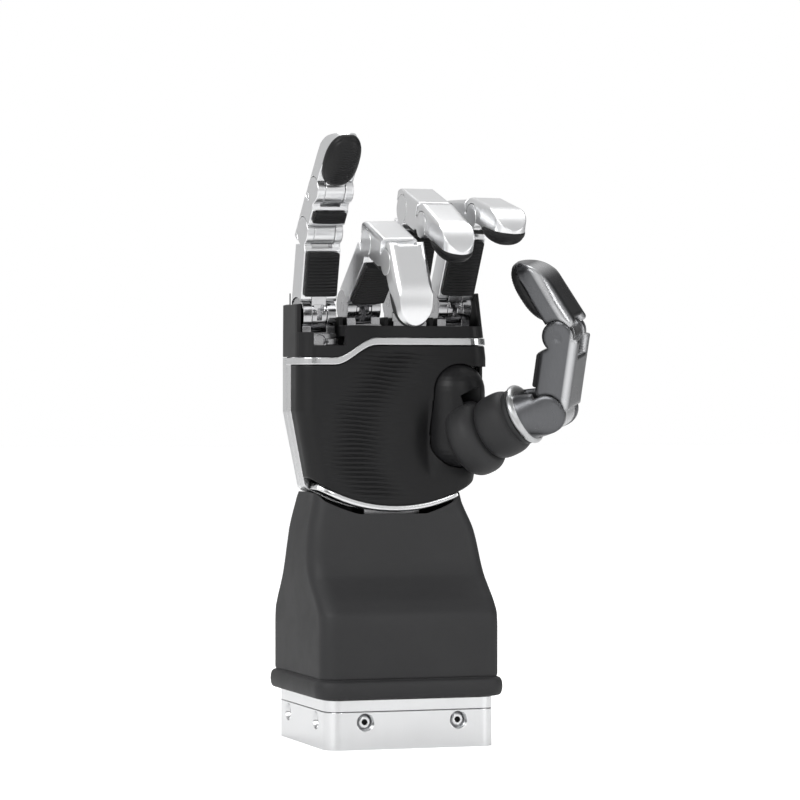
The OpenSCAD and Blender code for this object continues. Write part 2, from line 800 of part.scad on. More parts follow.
// Round housing that swings in the palm, with the clevis of the thumb's root
module thumb_carrier() {
    h = carrier_high_z - carrier_low_z;
    r = carrier_r;
    color(BLACK) difference() {
        union() {
            translate([thumb_swing.x, thumb_swing.y, carrier_low_z]) {
                // domed at both ends
                rotate_extrude() polygon(concat(
                    [for (a = [0:10:90]) [r * sin(a), r - r * cos(a)]],
                    [for (a = [90:-10:0]) [r * sin(a), h - r + r * cos(a)]]));
                translate([0, 0, -5.5]) cylinder(r = 3, h = h + 11);
            }
            hull() {
                at_metacarpal() rod_x(root_disc_r, 15);
                translate([thumb_swing.x - 1, thumb_swing.y - 4, thumb_root.z - 6])
                    cylinder(r = 7, h = 12, $fn = 32);
            }
        }
        at_metacarpal() {
            span([-root_tongue_w / 2 - 0.3, -7.2, -6.6], [root_tongue_w / 2 + 0.3, 7.2, 20]);
            span([-root_tongue_w / 2 - 0.3, -20, 0], [root_tongue_w / 2 + 0.3, 20, 20]);
            rod_x(root_pin_r + pin_gap, 40);
        }
    }
}

// Rubber bellows of two lobes round the thumb's root, in front of the palm's face
module thumb_boot() {
    lobe = [[17, 0, 6.3], [14.6, 14.8, 6.2]];   // outer radius, place and half thickness
    bore = 12;
    $fn = 28;
    color(CHARCOAL) difference() {
        at_metacarpal() rotate_extrude() difference() {
            union() {
                for (s = lobe) translate([s[0] - s[2], s[1]]) circle(s[2]);
                for (s = lobe) translate([bore - 1, s[1] - s[2]])
                    square([s[0] - s[2] - bore + 1, 2 * s[2]]);
                translate([bore - 1, 0]) square([2, rim_z - 0.5]);
            }
            translate([0, -20]) square([bore - 2, 60]);
        }
        translate([thumb_swing.x, thumb_swing.y, carrier_low_z - 1])
            cylinder(r = carrier_r + 0.4, h = 60);
        span([-60, palm_front - 1.4, 90], [palm_x + palm_w / 2 + 0.6, 40, 200]);
    }
}

// Chromed cup and fork between the bellows and the thumb's first visible joint
module thumb_metacarpal() {
    color(GUNMETAL) at_metacarpal() difference() {
        union() {
            rod_x(root_disc_r - 0.3, root_tongue_w);
            span([-root_tongue_w / 2, -5, 0], [root_tongue_w / 2, 5, 8]);
            translate([0, 0, 7]) cylinder(r = 4.8, h = rim_z - 6);
            translate([0, 0, rim_z]) rotate_extrude() {
                square([12.6, 3]);
                translate([12.4, 1.5]) circle(1.5);
            }
            hull() {
                translate([0, 0, rim_z + 1]) cylinder(r = 12.4, h = 1, $fn = 48);
                translate([0, thumb_mcp_y, metacarpal_l]) rotate([0, 90, 0])
                    cylinder(r = thumb_mcp_disc_r, h = thumb_w - 0.1, center = true, $fn = 48);
            }
        }
        rod_x(root_pin_r, 20);
        translate([0, thumb_mcp_y, metacarpal_l]) {
            blind_bore(thumb_w, -1);
            span([-thumb_mcp_lug_w / 2 - 0.2, -30, -thumb_mcp_disc_r - 0.7],
                [thumb_mcp_lug_w / 2 + 0.2, 30, 30]);
            // the cheeks are round where the next phalanx sweeps past them
            difference() {
                span([-15, -20, -2.5], [15, -3, 12]);
                rod_x(thumb_mcp_disc_r, 40);
            }
        }
        span([-thumb_mcp_lug_w / 2 - 0.2, -20, rim_z + 3.2], [thumb_mcp_lug_w / 2 + 0.2, 4, 60]);
    }
}

module thumb_root_pins() {
    color(STEEL) at_metacarpal() {
        rod_x(root_pin_r, 14.8);
        translate([0, thumb_mcp_y, metacarpal_l]) cross_pin(thumb_w, -1);
    }
}

module thumb_proximal_shell() {
    color(GUNMETAL) at_thumb_proximal() {
        phalanx_shell(thumb_w, thumb_proximal_l, thumb_back, thumb_side, thumb_mcp_disc_r,
            thumb_ip_disc_r, thumb_ip_lug_w, -3, thumb_proximal_l + 0.2, -1);
        lug(thumb_mcp_lug_w, thumb_mcp_disc_r, pin_r + pin_gap);
    }
}

module thumb_proximal_pad() {
    color(BLACK) at_thumb_proximal()
        side_pad(thumb_w - 2 * shell_wall - 0.2, thumb_mcp_disc_r + near_web + 0.15,
            thumb_proximal_l - thumb_ip_disc_r - far_web - 0.15, -9.3, -3);
}

module thumb_ip_pin() {
    color(STEEL) at_thumb_proximal() translate([0, 0, thumb_proximal_l])
        cross_pin(thumb_w, -1);
}

module thumb_distal_shell() {
    color(GUNMETAL) at_thumb_distal() distal_shell(thumb_w, thumb_distal_l, thumb_tip_back,
        thumb_ip_disc_r, thumb_ip_lug_w, 20, 8.4, -0.6);
}

module thumb_tip_pad() {
    color(BLACK) at_thumb_distal() tip_pad(thumb_w, thumb_distal_l, 7, 8.4, thumb_ip_disc_r,
        thumb_ip_lug_w);
}

// ---------------------------------------------------------------- pieces by name

wrist_housing();
clamp_ring();
housing_screws();
wrist_boot();
wrist_cuff();
wrist_cross();
palm_chassis();
palm_frame();
palm_pad();
back_cover();
knuckle_cover();
knuckle(LITTLE);  // little_knuckle
proximal_frame(LITTLE);  // little_proximal_frame
proximal_shell(LITTLE);  // little_proximal_shell
proximal_pad(LITTLE);  // little_proximal_pad
proximal_pins(LITTLE);  // little_proximal_pins
middle_shell(LITTLE);  // little_middle_shell
middle_pad(LITTLE);  // little_middle_pad
dip_pin(LITTLE);  // little_dip_pin
finger_distal_shell(LITTLE);  // little_distal_shell
fingertip_pad(LITTLE);  // little_fingertip_pad
knuckle(RING);  // ring_knuckle
proximal_frame(RING);  // ring_proximal_frame
proximal_shell(RING);  // ring_proximal_shell
proximal_pad(RING);  // ring_proximal_pad
proximal_pins(RING);  // ring_proximal_pins
middle_shell(RING);  // ring_middle_shell
middle_pad(RING);  // ring_middle_pad
dip_pin(RING);  // ring_dip_pin
finger_distal_shell(RING);  // ring_distal_shell
fingertip_pad(RING);  // ring_fingertip_pad
knuckle(MIDDLE);  // middle_knuckle
proximal_frame(MIDDLE);  // middle_proximal_frame
proximal_shell(MIDDLE);  // middle_proximal_shell
proximal_pad(MIDDLE);  // middle_proximal_pad
proximal_pins(MIDDLE);  // middle_proximal_pins
middle_shell(MIDDLE);  // middle_middle_shell
middle_pad(MIDDLE);  // middle_middle_pad
dip_pin(MIDDLE);  // middle_dip_pin
finger_distal_shell(MIDDLE);  // middle_distal_shell
fingertip_pad(MIDDLE);  // middle_fingertip_pad
knuckle(INDEX);  // index_knuckle
proximal_frame(INDEX);  // index_proximal_frame
proximal_shell(INDEX);  // index_proximal_shell
proximal_pad(INDEX);  // index_proximal_pad
proximal_pins(INDEX);  // index_proximal_pins
middle_shell(INDEX);  // index_middle_shell
middle_pad(INDEX);  // index_middle_pad
dip_pin(INDEX);  // index_dip_pin
finger_distal_shell(INDEX);  // index_distal_shell
fingertip_pad(INDEX);  // index_fingertip_pad
thumb_carrier();
thumb_boot();
thumb_metacarpal();
thumb_root_pins();
thumb_proximal_shell();
thumb_proximal_pad();
thumb_ip_pin();
thumb_distal_shell();
thumb_tip_pad();
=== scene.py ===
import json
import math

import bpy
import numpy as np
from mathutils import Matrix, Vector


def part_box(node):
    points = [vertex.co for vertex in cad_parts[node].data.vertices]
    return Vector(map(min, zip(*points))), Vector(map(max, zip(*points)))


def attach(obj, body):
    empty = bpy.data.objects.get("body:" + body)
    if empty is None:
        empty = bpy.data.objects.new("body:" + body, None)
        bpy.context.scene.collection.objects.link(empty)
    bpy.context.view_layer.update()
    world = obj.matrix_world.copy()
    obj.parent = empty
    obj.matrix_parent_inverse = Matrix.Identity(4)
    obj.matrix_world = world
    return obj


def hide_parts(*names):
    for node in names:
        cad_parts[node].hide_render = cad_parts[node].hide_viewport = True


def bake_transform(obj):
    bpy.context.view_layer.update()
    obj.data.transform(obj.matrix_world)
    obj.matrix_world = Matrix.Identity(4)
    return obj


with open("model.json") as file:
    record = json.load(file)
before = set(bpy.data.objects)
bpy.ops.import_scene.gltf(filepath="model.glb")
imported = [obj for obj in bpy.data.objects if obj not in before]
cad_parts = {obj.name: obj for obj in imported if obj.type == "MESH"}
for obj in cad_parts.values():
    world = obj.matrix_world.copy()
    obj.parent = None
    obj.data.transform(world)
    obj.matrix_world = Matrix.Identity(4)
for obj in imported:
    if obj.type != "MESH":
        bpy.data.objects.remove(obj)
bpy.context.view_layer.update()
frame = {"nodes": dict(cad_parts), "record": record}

# %% [markdown]
# This is a robot hand with five fingers on a wrist that bends two ways. Its metal parts are
# solids with exact sizes already, so they only get a finish here. What is moulded from rubber
# is made anew in this lesson, because soft rounds, ribs and folds are easier to give by a
# formula than by cutting solids: the sleeve of the wrist, the grip of the palm, the pads of
# the fingers and the bellows of the thumb. Lengths are in millimetres until a mesh is made.

MM = 0.001
JOINTS = {j["name"]: j for j in frame["record"]["behaviour"]["joints"]}
NODES = frame["nodes"]
FINGERS = ["little", "ring", "middle", "index"]


# %% [markdown]
# A rubber piece is a net of points: one direction runs along the piece, the other round it. It
# could be sculpted or put together from primitives instead, but in a net every size has a name
# and can be changed later. Four neighbouring points make one face.

# %% Meshes from nets
def mesh_piece(name, points, faces):
    """A smooth mesh object from points in millimetres and a list of faces."""
    mesh = bpy.data.meshes.new(name)
    mesh.from_pydata((np.asarray(points) * MM).tolist(), [], [list(map(int, f)) for f in faces])
    mesh.shade_smooth()
    mesh.update()
    piece = bpy.data.objects.new(name, mesh)
    bpy.context.scene.collection.objects.link(piece)
    return piece


def net_faces(rows, cols, wrap):
    """Corner numbers of the four-sided faces of a net of rows by cols points."""
    i, j = np.meshgrid(np.arange(rows - 1), np.arange(cols if wrap else cols - 1), indexing="ij")
    k = (j + 1) % cols
    return np.stack([i * cols + j, i * cols + k, (i + 1) * cols + k, (i + 1) * cols + j],
                    axis=-1).reshape(-1, 4)


# %% [markdown]
# Pads, bars and bellows are closed bodies. Their net is a stack of rings, and a fan of
# triangles closes each end. The sign of the enclosed volume tells whether the faces point
# outwards. If it is negative, every face is turned round, so nothing has to be guessed.

# %% Closed pieces
def enclosed(points, faces):
    """Six times the volume inside the faces, positive when they point outwards."""
    a, b, c = (points[faces[:, k]] for k in range(3))
    return np.einsum("ij,ij->", a, np.cross(b, c))


def closed_piece(name, rings):
    """A closed piece from rings[i, j]: ring i of points j. Each end ring gets a fan."""
    rows, cols = rings.shape[:2]
    flat = rings.reshape(-1, 3)
    ends = np.array([rings[0].mean(0), rings[-1].mean(0)])
    points = np.vstack([flat, ends])
    quads = net_faces(rows, cols, True)
    j = np.arange(cols)
    k = (j + 1) % cols
    first = np.stack([np.full(cols, rows * cols), k, j], axis=-1)
    last = np.stack([np.full(cols, rows * cols + 1), (rows - 1) * cols + j,
                     (rows - 1) * cols + k], axis=-1)
    halves = np.vstack([quads[:, [0, 1, 2]], quads[:, [0, 2, 3]], first, last])
    faces = [*quads.tolist(), *first.tolist(), *last.tolist()]
    if enclosed(points, halves) < 0:
        faces = [f[::-1] for f in faces]
    return mesh_piece(name, points, faces)


# %% [markdown]
# The sleeve and the palm's grip are skins over something else. Only their outer side is a net,
# and a Solidify modifier gives it an even wall. That is simpler than a second net for the
# inner side, and the wall stays even where the skin bends.

# %% Skins
def tight_ends(net):
    """The same net with one more row close to each end: smooth shading turns into the rim of
    the skin over a hair's width only, and no shadow line shows beside it."""
    near = 0.97 * net[[0, -1]] + 0.03 * net[[1, -2]]
    return np.concatenate([net[:1], near[:1], net[1:-1], near[1:], net[-1:]])


def skin_piece(name, net, thickness, outward, keep=None, wrap=False):
    """A skin of even thickness whose outer side is the net. outward gives the way out at each
    face's middle, and keep says which faces stay."""
    net = tight_ends(net)
    if not wrap:
        net = np.swapaxes(tight_ends(np.swapaxes(net, 0, 1)), 0, 1)
    rows, cols = net.shape[:2]
    points = net.reshape(-1, 3)
    quads = net_faces(rows, cols, wrap)
    if keep is not None:
        quads = quads[keep(points[quads].mean(1))]
    a, b, d = (points[quads[:, k]] for k in (0, 1, 3))
    if np.einsum("ij,ij->", np.cross(b - a, d - a), outward(points[quads].mean(1))) < 0:
        quads = quads[:, ::-1]
    used, number = np.unique(quads, return_inverse=True)
    piece = mesh_piece(name, points[used], number.reshape(-1, 4).tolist())
    wall = piece.modifiers.new("wall", "SOLIDIFY")
    wall.thickness = thickness * MM
    wall.offset = -1
    return piece


# %% [markdown]
# Each part of a finger has its own directions: x along its joint, z toward its tip and y out
# of its back. They could be typed in, but the joints already hold them, so a pad that is laid
# along them fits its part wherever the joint is.

# %% Directions of the parts
def spot(joint):
    """Where a joint is."""
    return np.array(JOINTS[joint]["pos_m"]) / MM


def turned(axes, degrees):
    """The same directions after a bend by that angle toward the palm."""
    x, y, z = axes
    c, s = math.cos(math.radians(degrees)), math.sin(math.radians(degrees))
    return x, c * y + s * z, c * z - s * y


def directions(joint, toward, side=1):
    """(x, y, z) of the part that turns on joint and points toward a place."""
    x = side * np.array(JOINTS[joint]["axis"])
    z = toward - spot(joint)
    z = z / np.linalg.norm(z)
    return x, np.cross(z, x), z


def placed(local, origin, axes):
    """Points given along a part's own directions, in the hand's frame."""
    return origin + local @ np.array(axes)


DIP_REST = {"little": 2, "ring": 45, "middle": 6, "index": 12}
THUMB_END_REST = 43
THUMB_ROOT_LEAN = math.degrees(math.atan2(4.2, 39.5))
parts = {}
for finger in FINGERS:
    first, second, third = (f"{finger}_{j}" for j in ("mcp", "pip", "dip"))
    parts[f"{finger}_proximal"] = (spot(first), directions(first, spot(second)))
    parts[f"{finger}_middle"] = (spot(second), directions(second, spot(third)))
    parts[f"{finger}_distal"] = (spot(third),
                                 turned(parts[f"{finger}_middle"][1], DIP_REST[finger]))
parts["thumb_metacarpus"] = (
    spot("thumb_root"), turned(directions("thumb_root", spot("thumb_mcp"), -1), THUMB_ROOT_LEAN))
parts["thumb_proximal"] = (spot("thumb_mcp"), directions("thumb_mcp", spot("thumb_ip"), -1))
parts["thumb_distal"] = (spot("thumb_ip"), turned(parts["thumb_proximal"][1], THUMB_END_REST))
PHALANX_L = {n: np.linalg.norm(spot(b) - spot(a)) for n, a, b in
             [(f"{f}_proximal", f"{f}_mcp", f"{f}_pip") for f in FINGERS]
             + [(f"{f}_middle", f"{f}_pip", f"{f}_dip") for f in FINGERS]
             + [("thumb_proximal", "thumb_mcp", "thumb_ip")]}
print("phalanx lengths", {n: round(float(v), 1) for n, v in PHALANX_L.items()})


# %% [markdown]
# A finish is a small tree of nodes. Four short helpers make the nodes that all trees need, so
# that a tree reads like a formula: a sum, a noise, a colour mix, a place along an axis.

# %% Nodes in short
def maths(tree, operation, *values):
    """A Math node; its values are sockets or numbers. Returns its result socket."""
    node = tree.nodes.new("ShaderNodeMath")
    node.operation = operation
    for k, value in enumerate(values):
        if isinstance(value, bpy.types.NodeSocket):
            tree.links.new(value, node.inputs[k])
        else:
            node.inputs[k].default_value = value
    return node.outputs[0]


def noise(tree, vector, scale, detail=4.0, rough=0.55):
    """A Noise texture at a scale that is a socket. Returns its factor socket."""
    node = tree.nodes.new("ShaderNodeTexNoise")
    node.inputs["Detail"].default_value = detail
    node.inputs["Roughness"].default_value = rough
    tree.links.new(vector, node.inputs["Vector"])
    tree.links.new(scale, node.inputs["Scale"])
    return node.outputs["Fac"]


def blended(tree, factor, low, high):
    """A colour mix; low and high are colours or sockets. Returns its result socket."""
    mix = tree.nodes.new("ShaderNodeMix")
    mix.data_type = "RGBA"
    tree.links.new(factor, mix.inputs["Factor"])
    for label, value in (("A", low), ("B", high)):
        if isinstance(value, bpy.types.NodeSocket):
            tree.links.new(value, mix.inputs[label])
        else:
            mix.inputs[label].default_value = (*value, 1)
    return mix.outputs["Result"]


def along(tree, vector, axis):
    """How far a vector reaches along an axis: their dot product."""
    dot = tree.nodes.new("ShaderNodeVectorMath")
    dot.operation = "DOT_PRODUCT"
    tree.links.new(vector, dot.inputs[0])
    dot.inputs[1].default_value = axis
    return dot.outputs["Value"]


# %% [markdown]
# Three patterns are built once, as node groups, and shared by the finishes: the fine grain of a
# mould, faint streaks as from a polishing belt, and soft smudges as from hands and oil.
# Scanned textures would have to be unwrapped onto sixty parts. A noise on the piece's own
# coordinates needs no unwrapping and has no seams.

# %% Shared patterns
def pattern(name, scale, outputs):
    """An empty node group with named sockets; returns it with its two end nodes."""
    group = bpy.data.node_groups.new(name, "ShaderNodeTree")
    group.interface.new_socket("Vector", in_out="INPUT", socket_type="NodeSocketVector")
    size = group.interface.new_socket("Scale", in_out="INPUT", socket_type="NodeSocketFloat")
    size.default_value = scale
    for label in outputs:
        group.interface.new_socket(label, in_out="OUTPUT", socket_type="NodeSocketFloat")
    return group, group.nodes.new("NodeGroupInput"), group.nodes.new("NodeGroupOutput")


def make_grain():
    """Moulded grain: small bumps with a slow change of tone over the surface."""
    group, start, end = pattern("moulded grain", 2200.0, ["Height", "Tone"])
    bumps = noise(group, start.outputs["Vector"], start.outputs["Scale"], 3.0, 0.6)
    group.links.new(bumps, end.inputs["Height"])
    slow = maths(group, "MULTIPLY", start.outputs["Scale"], 0.018)
    group.links.new(noise(group, start.outputs["Vector"], slow, 3.0), end.inputs["Tone"])
    return group


def make_streaks():
    """Polishing streaks: noise stretched along the hand's length."""
    group, start, end = pattern("polishing streaks", 900.0, ["Height", "Tone"])
    stretch = group.nodes.new("ShaderNodeVectorMath")
    stretch.operation = "MULTIPLY"
    stretch.inputs[1].default_value = (1.0, 1.0, 0.05)
    group.links.new(start.outputs["Vector"], stretch.inputs[0])
    lines = noise(group, stretch.outputs[0], start.outputs["Scale"], 4.0, 0.7)
    group.links.new(lines, end.inputs["Height"])
    group.links.new(lines, end.inputs["Tone"])
    return group


SMUDGE_SCALE = 45.0


def make_smudges():
    """Smudges: large soft patches, most of the surface clean."""
    group, start, end = pattern("smudges", SMUDGE_SCALE, ["Mask"])
    cloud = noise(group, start.outputs["Vector"], start.outputs["Scale"], 5.0, 0.6)
    ramp = maths(group, "MULTIPLY", maths(group, "SUBTRACT", cloud, 0.45), 3.0)
    limit = group.nodes.new("ShaderNodeClamp")
    group.links.new(ramp, limit.inputs["Value"])
    group.links.new(limit.outputs[0], end.inputs["Mask"])
    return group


GRAIN, STREAKS, SMUDGES = make_grain(), make_streaks(), make_smudges()
print("patterns:", ", ".join(group.name for group in (GRAIN, STREAKS, SMUDGES)))


# %% [markdown]
# One recipe gives every finish of the hand. A pattern mixes two near tones and raises a bump,
# from half a thousandth of a millimetre on a shell to a twentieth on the boots, and smudges
# spread the roughness. Cast and milled parts also have a small round along each edge, which
# catches the light. A Bevel modifier would cut it into the mesh and so change the solid. The
# Bevel node in the material only bends the light as such a round does: no edge gets round.

# %% A finish
EDGE_SAMPLES = 10


def place_group(tree, group, vector, scale):
    """A shared pattern placed in a material's tree."""
    node = tree.nodes.new("ShaderNodeGroup")
    node.node_tree = group
    tree.links.new(vector, node.inputs["Vector"])
    node.inputs["Scale"].default_value = scale
    return node


def finish(name, colour, dark, metal, rough, spread, relief, depth, scale, gloss=0.5, edge=0.0):
    """A finish: colour and dark are mixed by the relief's tone, roughness spreads with smudges,
    and the relief group gives the bump's height, depth in millimetres. Light falls on the
    edges as on a round of radius edge."""
    material = bpy.data.materials.new(name)
    material.use_nodes = True
    tree = material.node_tree
    shader = tree.nodes["Principled BSDF"]
    where = tree.nodes.new("ShaderNodeTexCoord").outputs["Object"]
    texture = place_group(tree, relief, where, scale)
    smudge = place_group(tree, SMUDGES, where, SMUDGE_SCALE)
    tree.links.new(blended(tree, texture.outputs["Tone"], dark, colour),
                   shader.inputs["Base Color"])
    uneven = maths(tree, "MULTIPLY", smudge.outputs["Mask"], spread)
    tree.links.new(maths(tree, "ADD", uneven, rough), shader.inputs["Roughness"])
    bump = tree.nodes.new("ShaderNodeBump")
    bump.inputs["Distance"].default_value = depth * MM
    bump.inputs["Strength"].default_value = 1.0
    tree.links.new(texture.outputs["Height"], bump.inputs["Height"])
    tree.links.new(bump.outputs["Normal"], shader.inputs["Normal"])
    if edge:
        round_edge = tree.nodes.new("ShaderNodeBevel")
        round_edge.samples = EDGE_SAMPLES
        round_edge.inputs["Radius"].default_value = edge * MM
        tree.links.new(round_edge.outputs["Normal"], bump.inputs["Normal"])
    shader.inputs["Metallic"].default_value = metal
    shader.inputs["Specular IOR Level"].default_value = gloss
    return material


# %% [markdown]
# The hand is dressed in four metals. The finger shells are satin silver, the housing and the
# palm's frame a brighter aluminium, the pins and links polished steel, and the thumb a metal
# coloured much darker than the fingers' silver, as painted shade for the dark surroundings its
# shells mirror; its wide edge rounds carry long highlights. Which alloys the real ones are
# can't be told from their looks. Four trees made by hand would drift apart, so each is the one
# recipe with its own numbers.

# %% Metals
SATIN_SILVER = finish("satin silver", (0.80, 0.805, 0.81), (0.76, 0.765, 0.775), metal=1.0,
                      rough=0.28, spread=0.05, relief=STREAKS, depth=0.0005, scale=1500.0,
                      edge=0.8)
BRIGHT_ALUMINIUM = finish("bright aluminium", (0.77, 0.775, 0.78), (0.71, 0.715, 0.725),
                          metal=1.0, rough=0.22, spread=0.06, relief=STREAKS, depth=0.0012,
                          scale=1200.0, edge=0.6)
POLISHED_STEEL = finish("polished steel", (0.56, 0.56, 0.57), (0.44, 0.44, 0.45), metal=1.0,
                        rough=0.16, spread=0.10, relief=STREAKS, depth=0.004, scale=1800.0,
                        edge=0.4)
# The thumb's metal: painted shade, a colour much darker than the silver, for the dark surroundings
# its shells mirror.
THUMB_METAL_PAINTED_SHADE = finish("dark satin metal", (0.128, 0.130, 0.136), (0.104, 0.106, 0.111), metal=1.0,
                  rough=0.27, spread=0.08, relief=STREAKS, depth=0.0010, scale=1500.0, edge=2.8)
print("metals:", ", ".join(m.name for m in (SATIN_SILVER, BRIGHT_ALUMINIUM, POLISHED_STEEL,
                                            THUMB_METAL_PAINTED_SHADE)))


# %% [markdown]
# Black rubber is never black all through. The pads are the darkest and a little shiny from
# use, the sleeve is a duller and lighter rubber, and the covers are a fine-grained paint. Low
# specular levels keep the white room from washing them out.

# %% Rubbers and paint
GRIP_RUBBER = finish("grip rubber", (0.0100, 0.0100, 0.0105), (0.0065, 0.0065, 0.0070),
                     metal=0.0, rough=0.44, spread=0.10, relief=GRAIN, depth=0.02, scale=2600.0,
                     gloss=0.22)
BOOT_RUBBER = finish("boot rubber", (0.0240, 0.0240, 0.0250), (0.0175, 0.0175, 0.0185),
                     metal=0.0, rough=0.56, spread=0.08, relief=GRAIN, depth=0.05, scale=1700.0,
                     gloss=0.30)
BLACK_COVER = finish("black cover", (0.0100, 0.0100, 0.0108), (0.0070, 0.0070, 0.0076),
                     metal=0.0, rough=0.40, spread=0.10, relief=GRAIN, depth=0.01, scale=2400.0,
                     gloss=0.25, edge=0.6)
print("blacks:", ", ".join(m.name for m in (GRIP_RUBBER, BOOT_RUBBER, BLACK_COVER)))


# %% [markdown]
# The solids keep their shape and get their finish by name. A table of sixty rows would say the
# same, but the names already tell what a part is, so a few rules are shorter and hard to get
# wrong.

# %% Dress the solids
def dress(piece, material):
    """Gives a piece one material."""
    piece.data.materials.clear()
    piece.data.materials.append(material)


def finish_of(node):
    """Which finish a solid of the hand has."""
    if node in ("wrist_housing", "clamp_ring", "palm_frame", "back_cover"):
        return BRIGHT_ALUMINIUM
    if node.startswith("thumb") and (node.endswith("_shell") or node == "thumb_metacarpal"):
        return THUMB_METAL_PAINTED_SHADE
    if node.endswith("_shell"):
        return SATIN_SILVER
    if node in ("knuckle_cover", "thumb_carrier"):
        return BLACK_COVER
    return POLISHED_STEEL


for name, node in NODES.items():
    dress(node, finish_of(name))
print("dressed", len(NODES), "solids")


# %% [markdown]
# Some parts get a second tone in one place: a painted highlight along one corner of the
# thumb's shells, a chromed rim on its cup, and painted shade in the sockets of the housing's
# screws. Each could be a second material on chosen faces, but the tone fades or ends where no
# face ends. So each place is a mask worked out from coordinates, and two helpers lay it over a
# copy of a finish.

# %% A second tone
def own_copy(material, name):
    """A copy of a finish, its tree and the socket of its coordinates."""
    copy = material.copy()
    copy.name = name
    place = next(n for n in copy.node_tree.nodes if n.type == "TEX_COORD").outputs["Object"]
    return copy, copy.node_tree, place


def recolour(tree, mask, colour):
    """Blends a finish's colour into another one where the mask is 1."""
    base = tree.nodes["Principled BSDF"].inputs["Base Color"]
    tree.links.new(blended(tree, mask, base.links[0].from_socket, colour), base)


# %% [markdown]
# A painted highlight runs along one corner of the thumb's two shells. On the real part it is
# most likely a reflection in a wide round. The Bevel node's line came out too thin, so a mask
# paints the metal lighter there: a painted highlight, which stays in place when the light moves.
# The sides of the solids are flat, and a bump as wide as the part bends the light as a slight
# crown would: its height falls with the square of the way from the middle. Neither changes the
# shape.

# %% The painted highlight on the thumb's shells
PAINTED_HIGHLIGHT = (0.55, 0.555, 0.565)
CROWN_RISE = 1.2


def crowned(material, name, origin, axis, low, high, line):
    """A copy of a finish whose light falls as on a face crowned between two heights along an
    axis: the crown's height is its rise times one minus the square of the way from its middle.
    Around the height line[0] a painted highlight makes the colour lighter, fading out over
    line[1] to each side."""
    copy, tree, place = own_copy(material, name)
    height = along(tree, place, axis)
    middle, half = float(origin @ axis + (low + high) / 2) * MM, (high - low) / 2 * MM
    way = maths(tree, "DIVIDE", maths(tree, "SUBTRACT", height, middle), half)
    texture = next(n for n in tree.nodes if n.type == "BUMP")
    crown = tree.nodes.new("ShaderNodeBump")
    crown.inputs["Distance"].default_value = CROWN_RISE * MM
    tree.links.new(maths(tree, "SUBTRACT", 1.0, maths(tree, "MULTIPLY", way, way)),
                   crown.inputs["Height"])
    tree.links.new(texture.inputs["Normal"].links[0].from_socket, crown.inputs["Normal"])
    tree.links.new(crown.outputs["Normal"], texture.inputs["Normal"])
    off = maths(tree, "SUBTRACT", height, float(origin @ axis + line[0]) * MM)
    share = maths(tree, "DIVIDE", off, line[1] * MM)
    light = maths(tree, "MAXIMUM",
                  maths(tree, "SUBTRACT", 1.0, maths(tree, "MULTIPLY", share, share)), 0.0)
    # Painted highlight: the colour is lighter along this line, as a reflection in a round would
    # make it.
    recolour(tree, light, PAINTED_HIGHLIGHT)
    return copy


for part, low, high, line in (("thumb_proximal", -6.5, 9.5, (7.6, 2.0)),
                              ("thumb_distal", -3.0, 10.5, (7.6, 2.6))):
    origin, axes = parts[part]
    dress(NODES[f"{part}_shell"], crowned(THUMB_METAL_PAINTED_SHADE, f"{part} dark metal", origin, axes[1], low,
                                          high, line))
    print("light line of", part, "at y", line[0], "mm")


# %% [markdown]
# The cup at the thumb's root ends in a bright rim next to the bellows. Whether the real rim is
# a ring of its own doesn't show from outside. Here it is a band between two heights along the
# cup's own length, which needs no further piece.

# %% The cup's chromed rim
CHROME = (0.50, 0.505, 0.51)


def with_chromed_band(material, name, origin, axis, low, high):
    """A copy of a finish that is chromed between two heights along an axis, in millimetres.
    The mask is 1 where the height, the dot product with the axis, is between them."""
    copy, tree, place = own_copy(material, name)
    middle = float(origin @ axis + (low + high) / 2) * MM
    recolour(tree, maths(tree, "COMPARE", along(tree, place, axis), middle,
                         (high - low) / 2 * MM), CHROME)
    return copy


RIM_SPAN = (24.6, 28.4)
root, axes = parts["thumb_metacarpus"]
dress(NODES["thumb_metacarpal"], with_chromed_band(
    THUMB_METAL_PAINTED_SHADE, "dark metal with a chromed rim", root, axes[2], *RIM_SPAN))
print("chromed rim from", RIM_SPAN[0], "to", RIM_SPAN[1], "mm along the cup")


# %% [markdown]
# The eight screws of the housing have shallow hex sockets. A real one is deep and its inside
# lies in shade, so a small round mask paints each one black: painted shade. All eight sit alike
# on the four sides, so |x| or |y| finds the nearest one.

# %% Screw sockets
SCREW_X, SCREW_Z, SOCKET_R = 21.5, 12.1, 1.32
PAINTED_SOCKET_SHADE = (0.01, 0.01, 0.01)


def with_painted_socket_shade(material, name):
    """A copy of a finish with painted shade: it is black within a socket's radius of each screw's
    middle, as the shade in a deep socket looks. The distance uses |x| or |y|, because the screws
    sit alike on all four sides."""
    copy, tree, place = own_copy(material, name)
    split = tree.nodes.new("ShaderNodeSeparateXYZ")
    tree.links.new(place, split.inputs[0])
    dz = maths(tree, "SUBTRACT", split.outputs["Z"], SCREW_Z * MM)
    away = []
    for label in "XY":
        side = maths(tree, "ABSOLUTE", split.outputs[label])
        dx = maths(tree, "SUBTRACT", side, SCREW_X * MM)
        away.append(maths(tree, "SQRT", maths(tree, "ADD", maths(tree, "MULTIPLY", dx, dx),
                                              maths(tree, "MULTIPLY", dz, dz))))
    near = maths(tree, "LESS_THAN", maths(tree, "MINIMUM", *away), SOCKET_R * MM)
    # Painted shade: black where the inside of a deep socket would lie in shade.
    recolour(tree, near, PAINTED_SOCKET_SHADE)
    return copy


dress(NODES["housing_screws"], with_painted_socket_shade(BRIGHT_ALUMINIUM, "screw steel"))
print("screw sockets", 2 * SOCKET_R, "mm across")


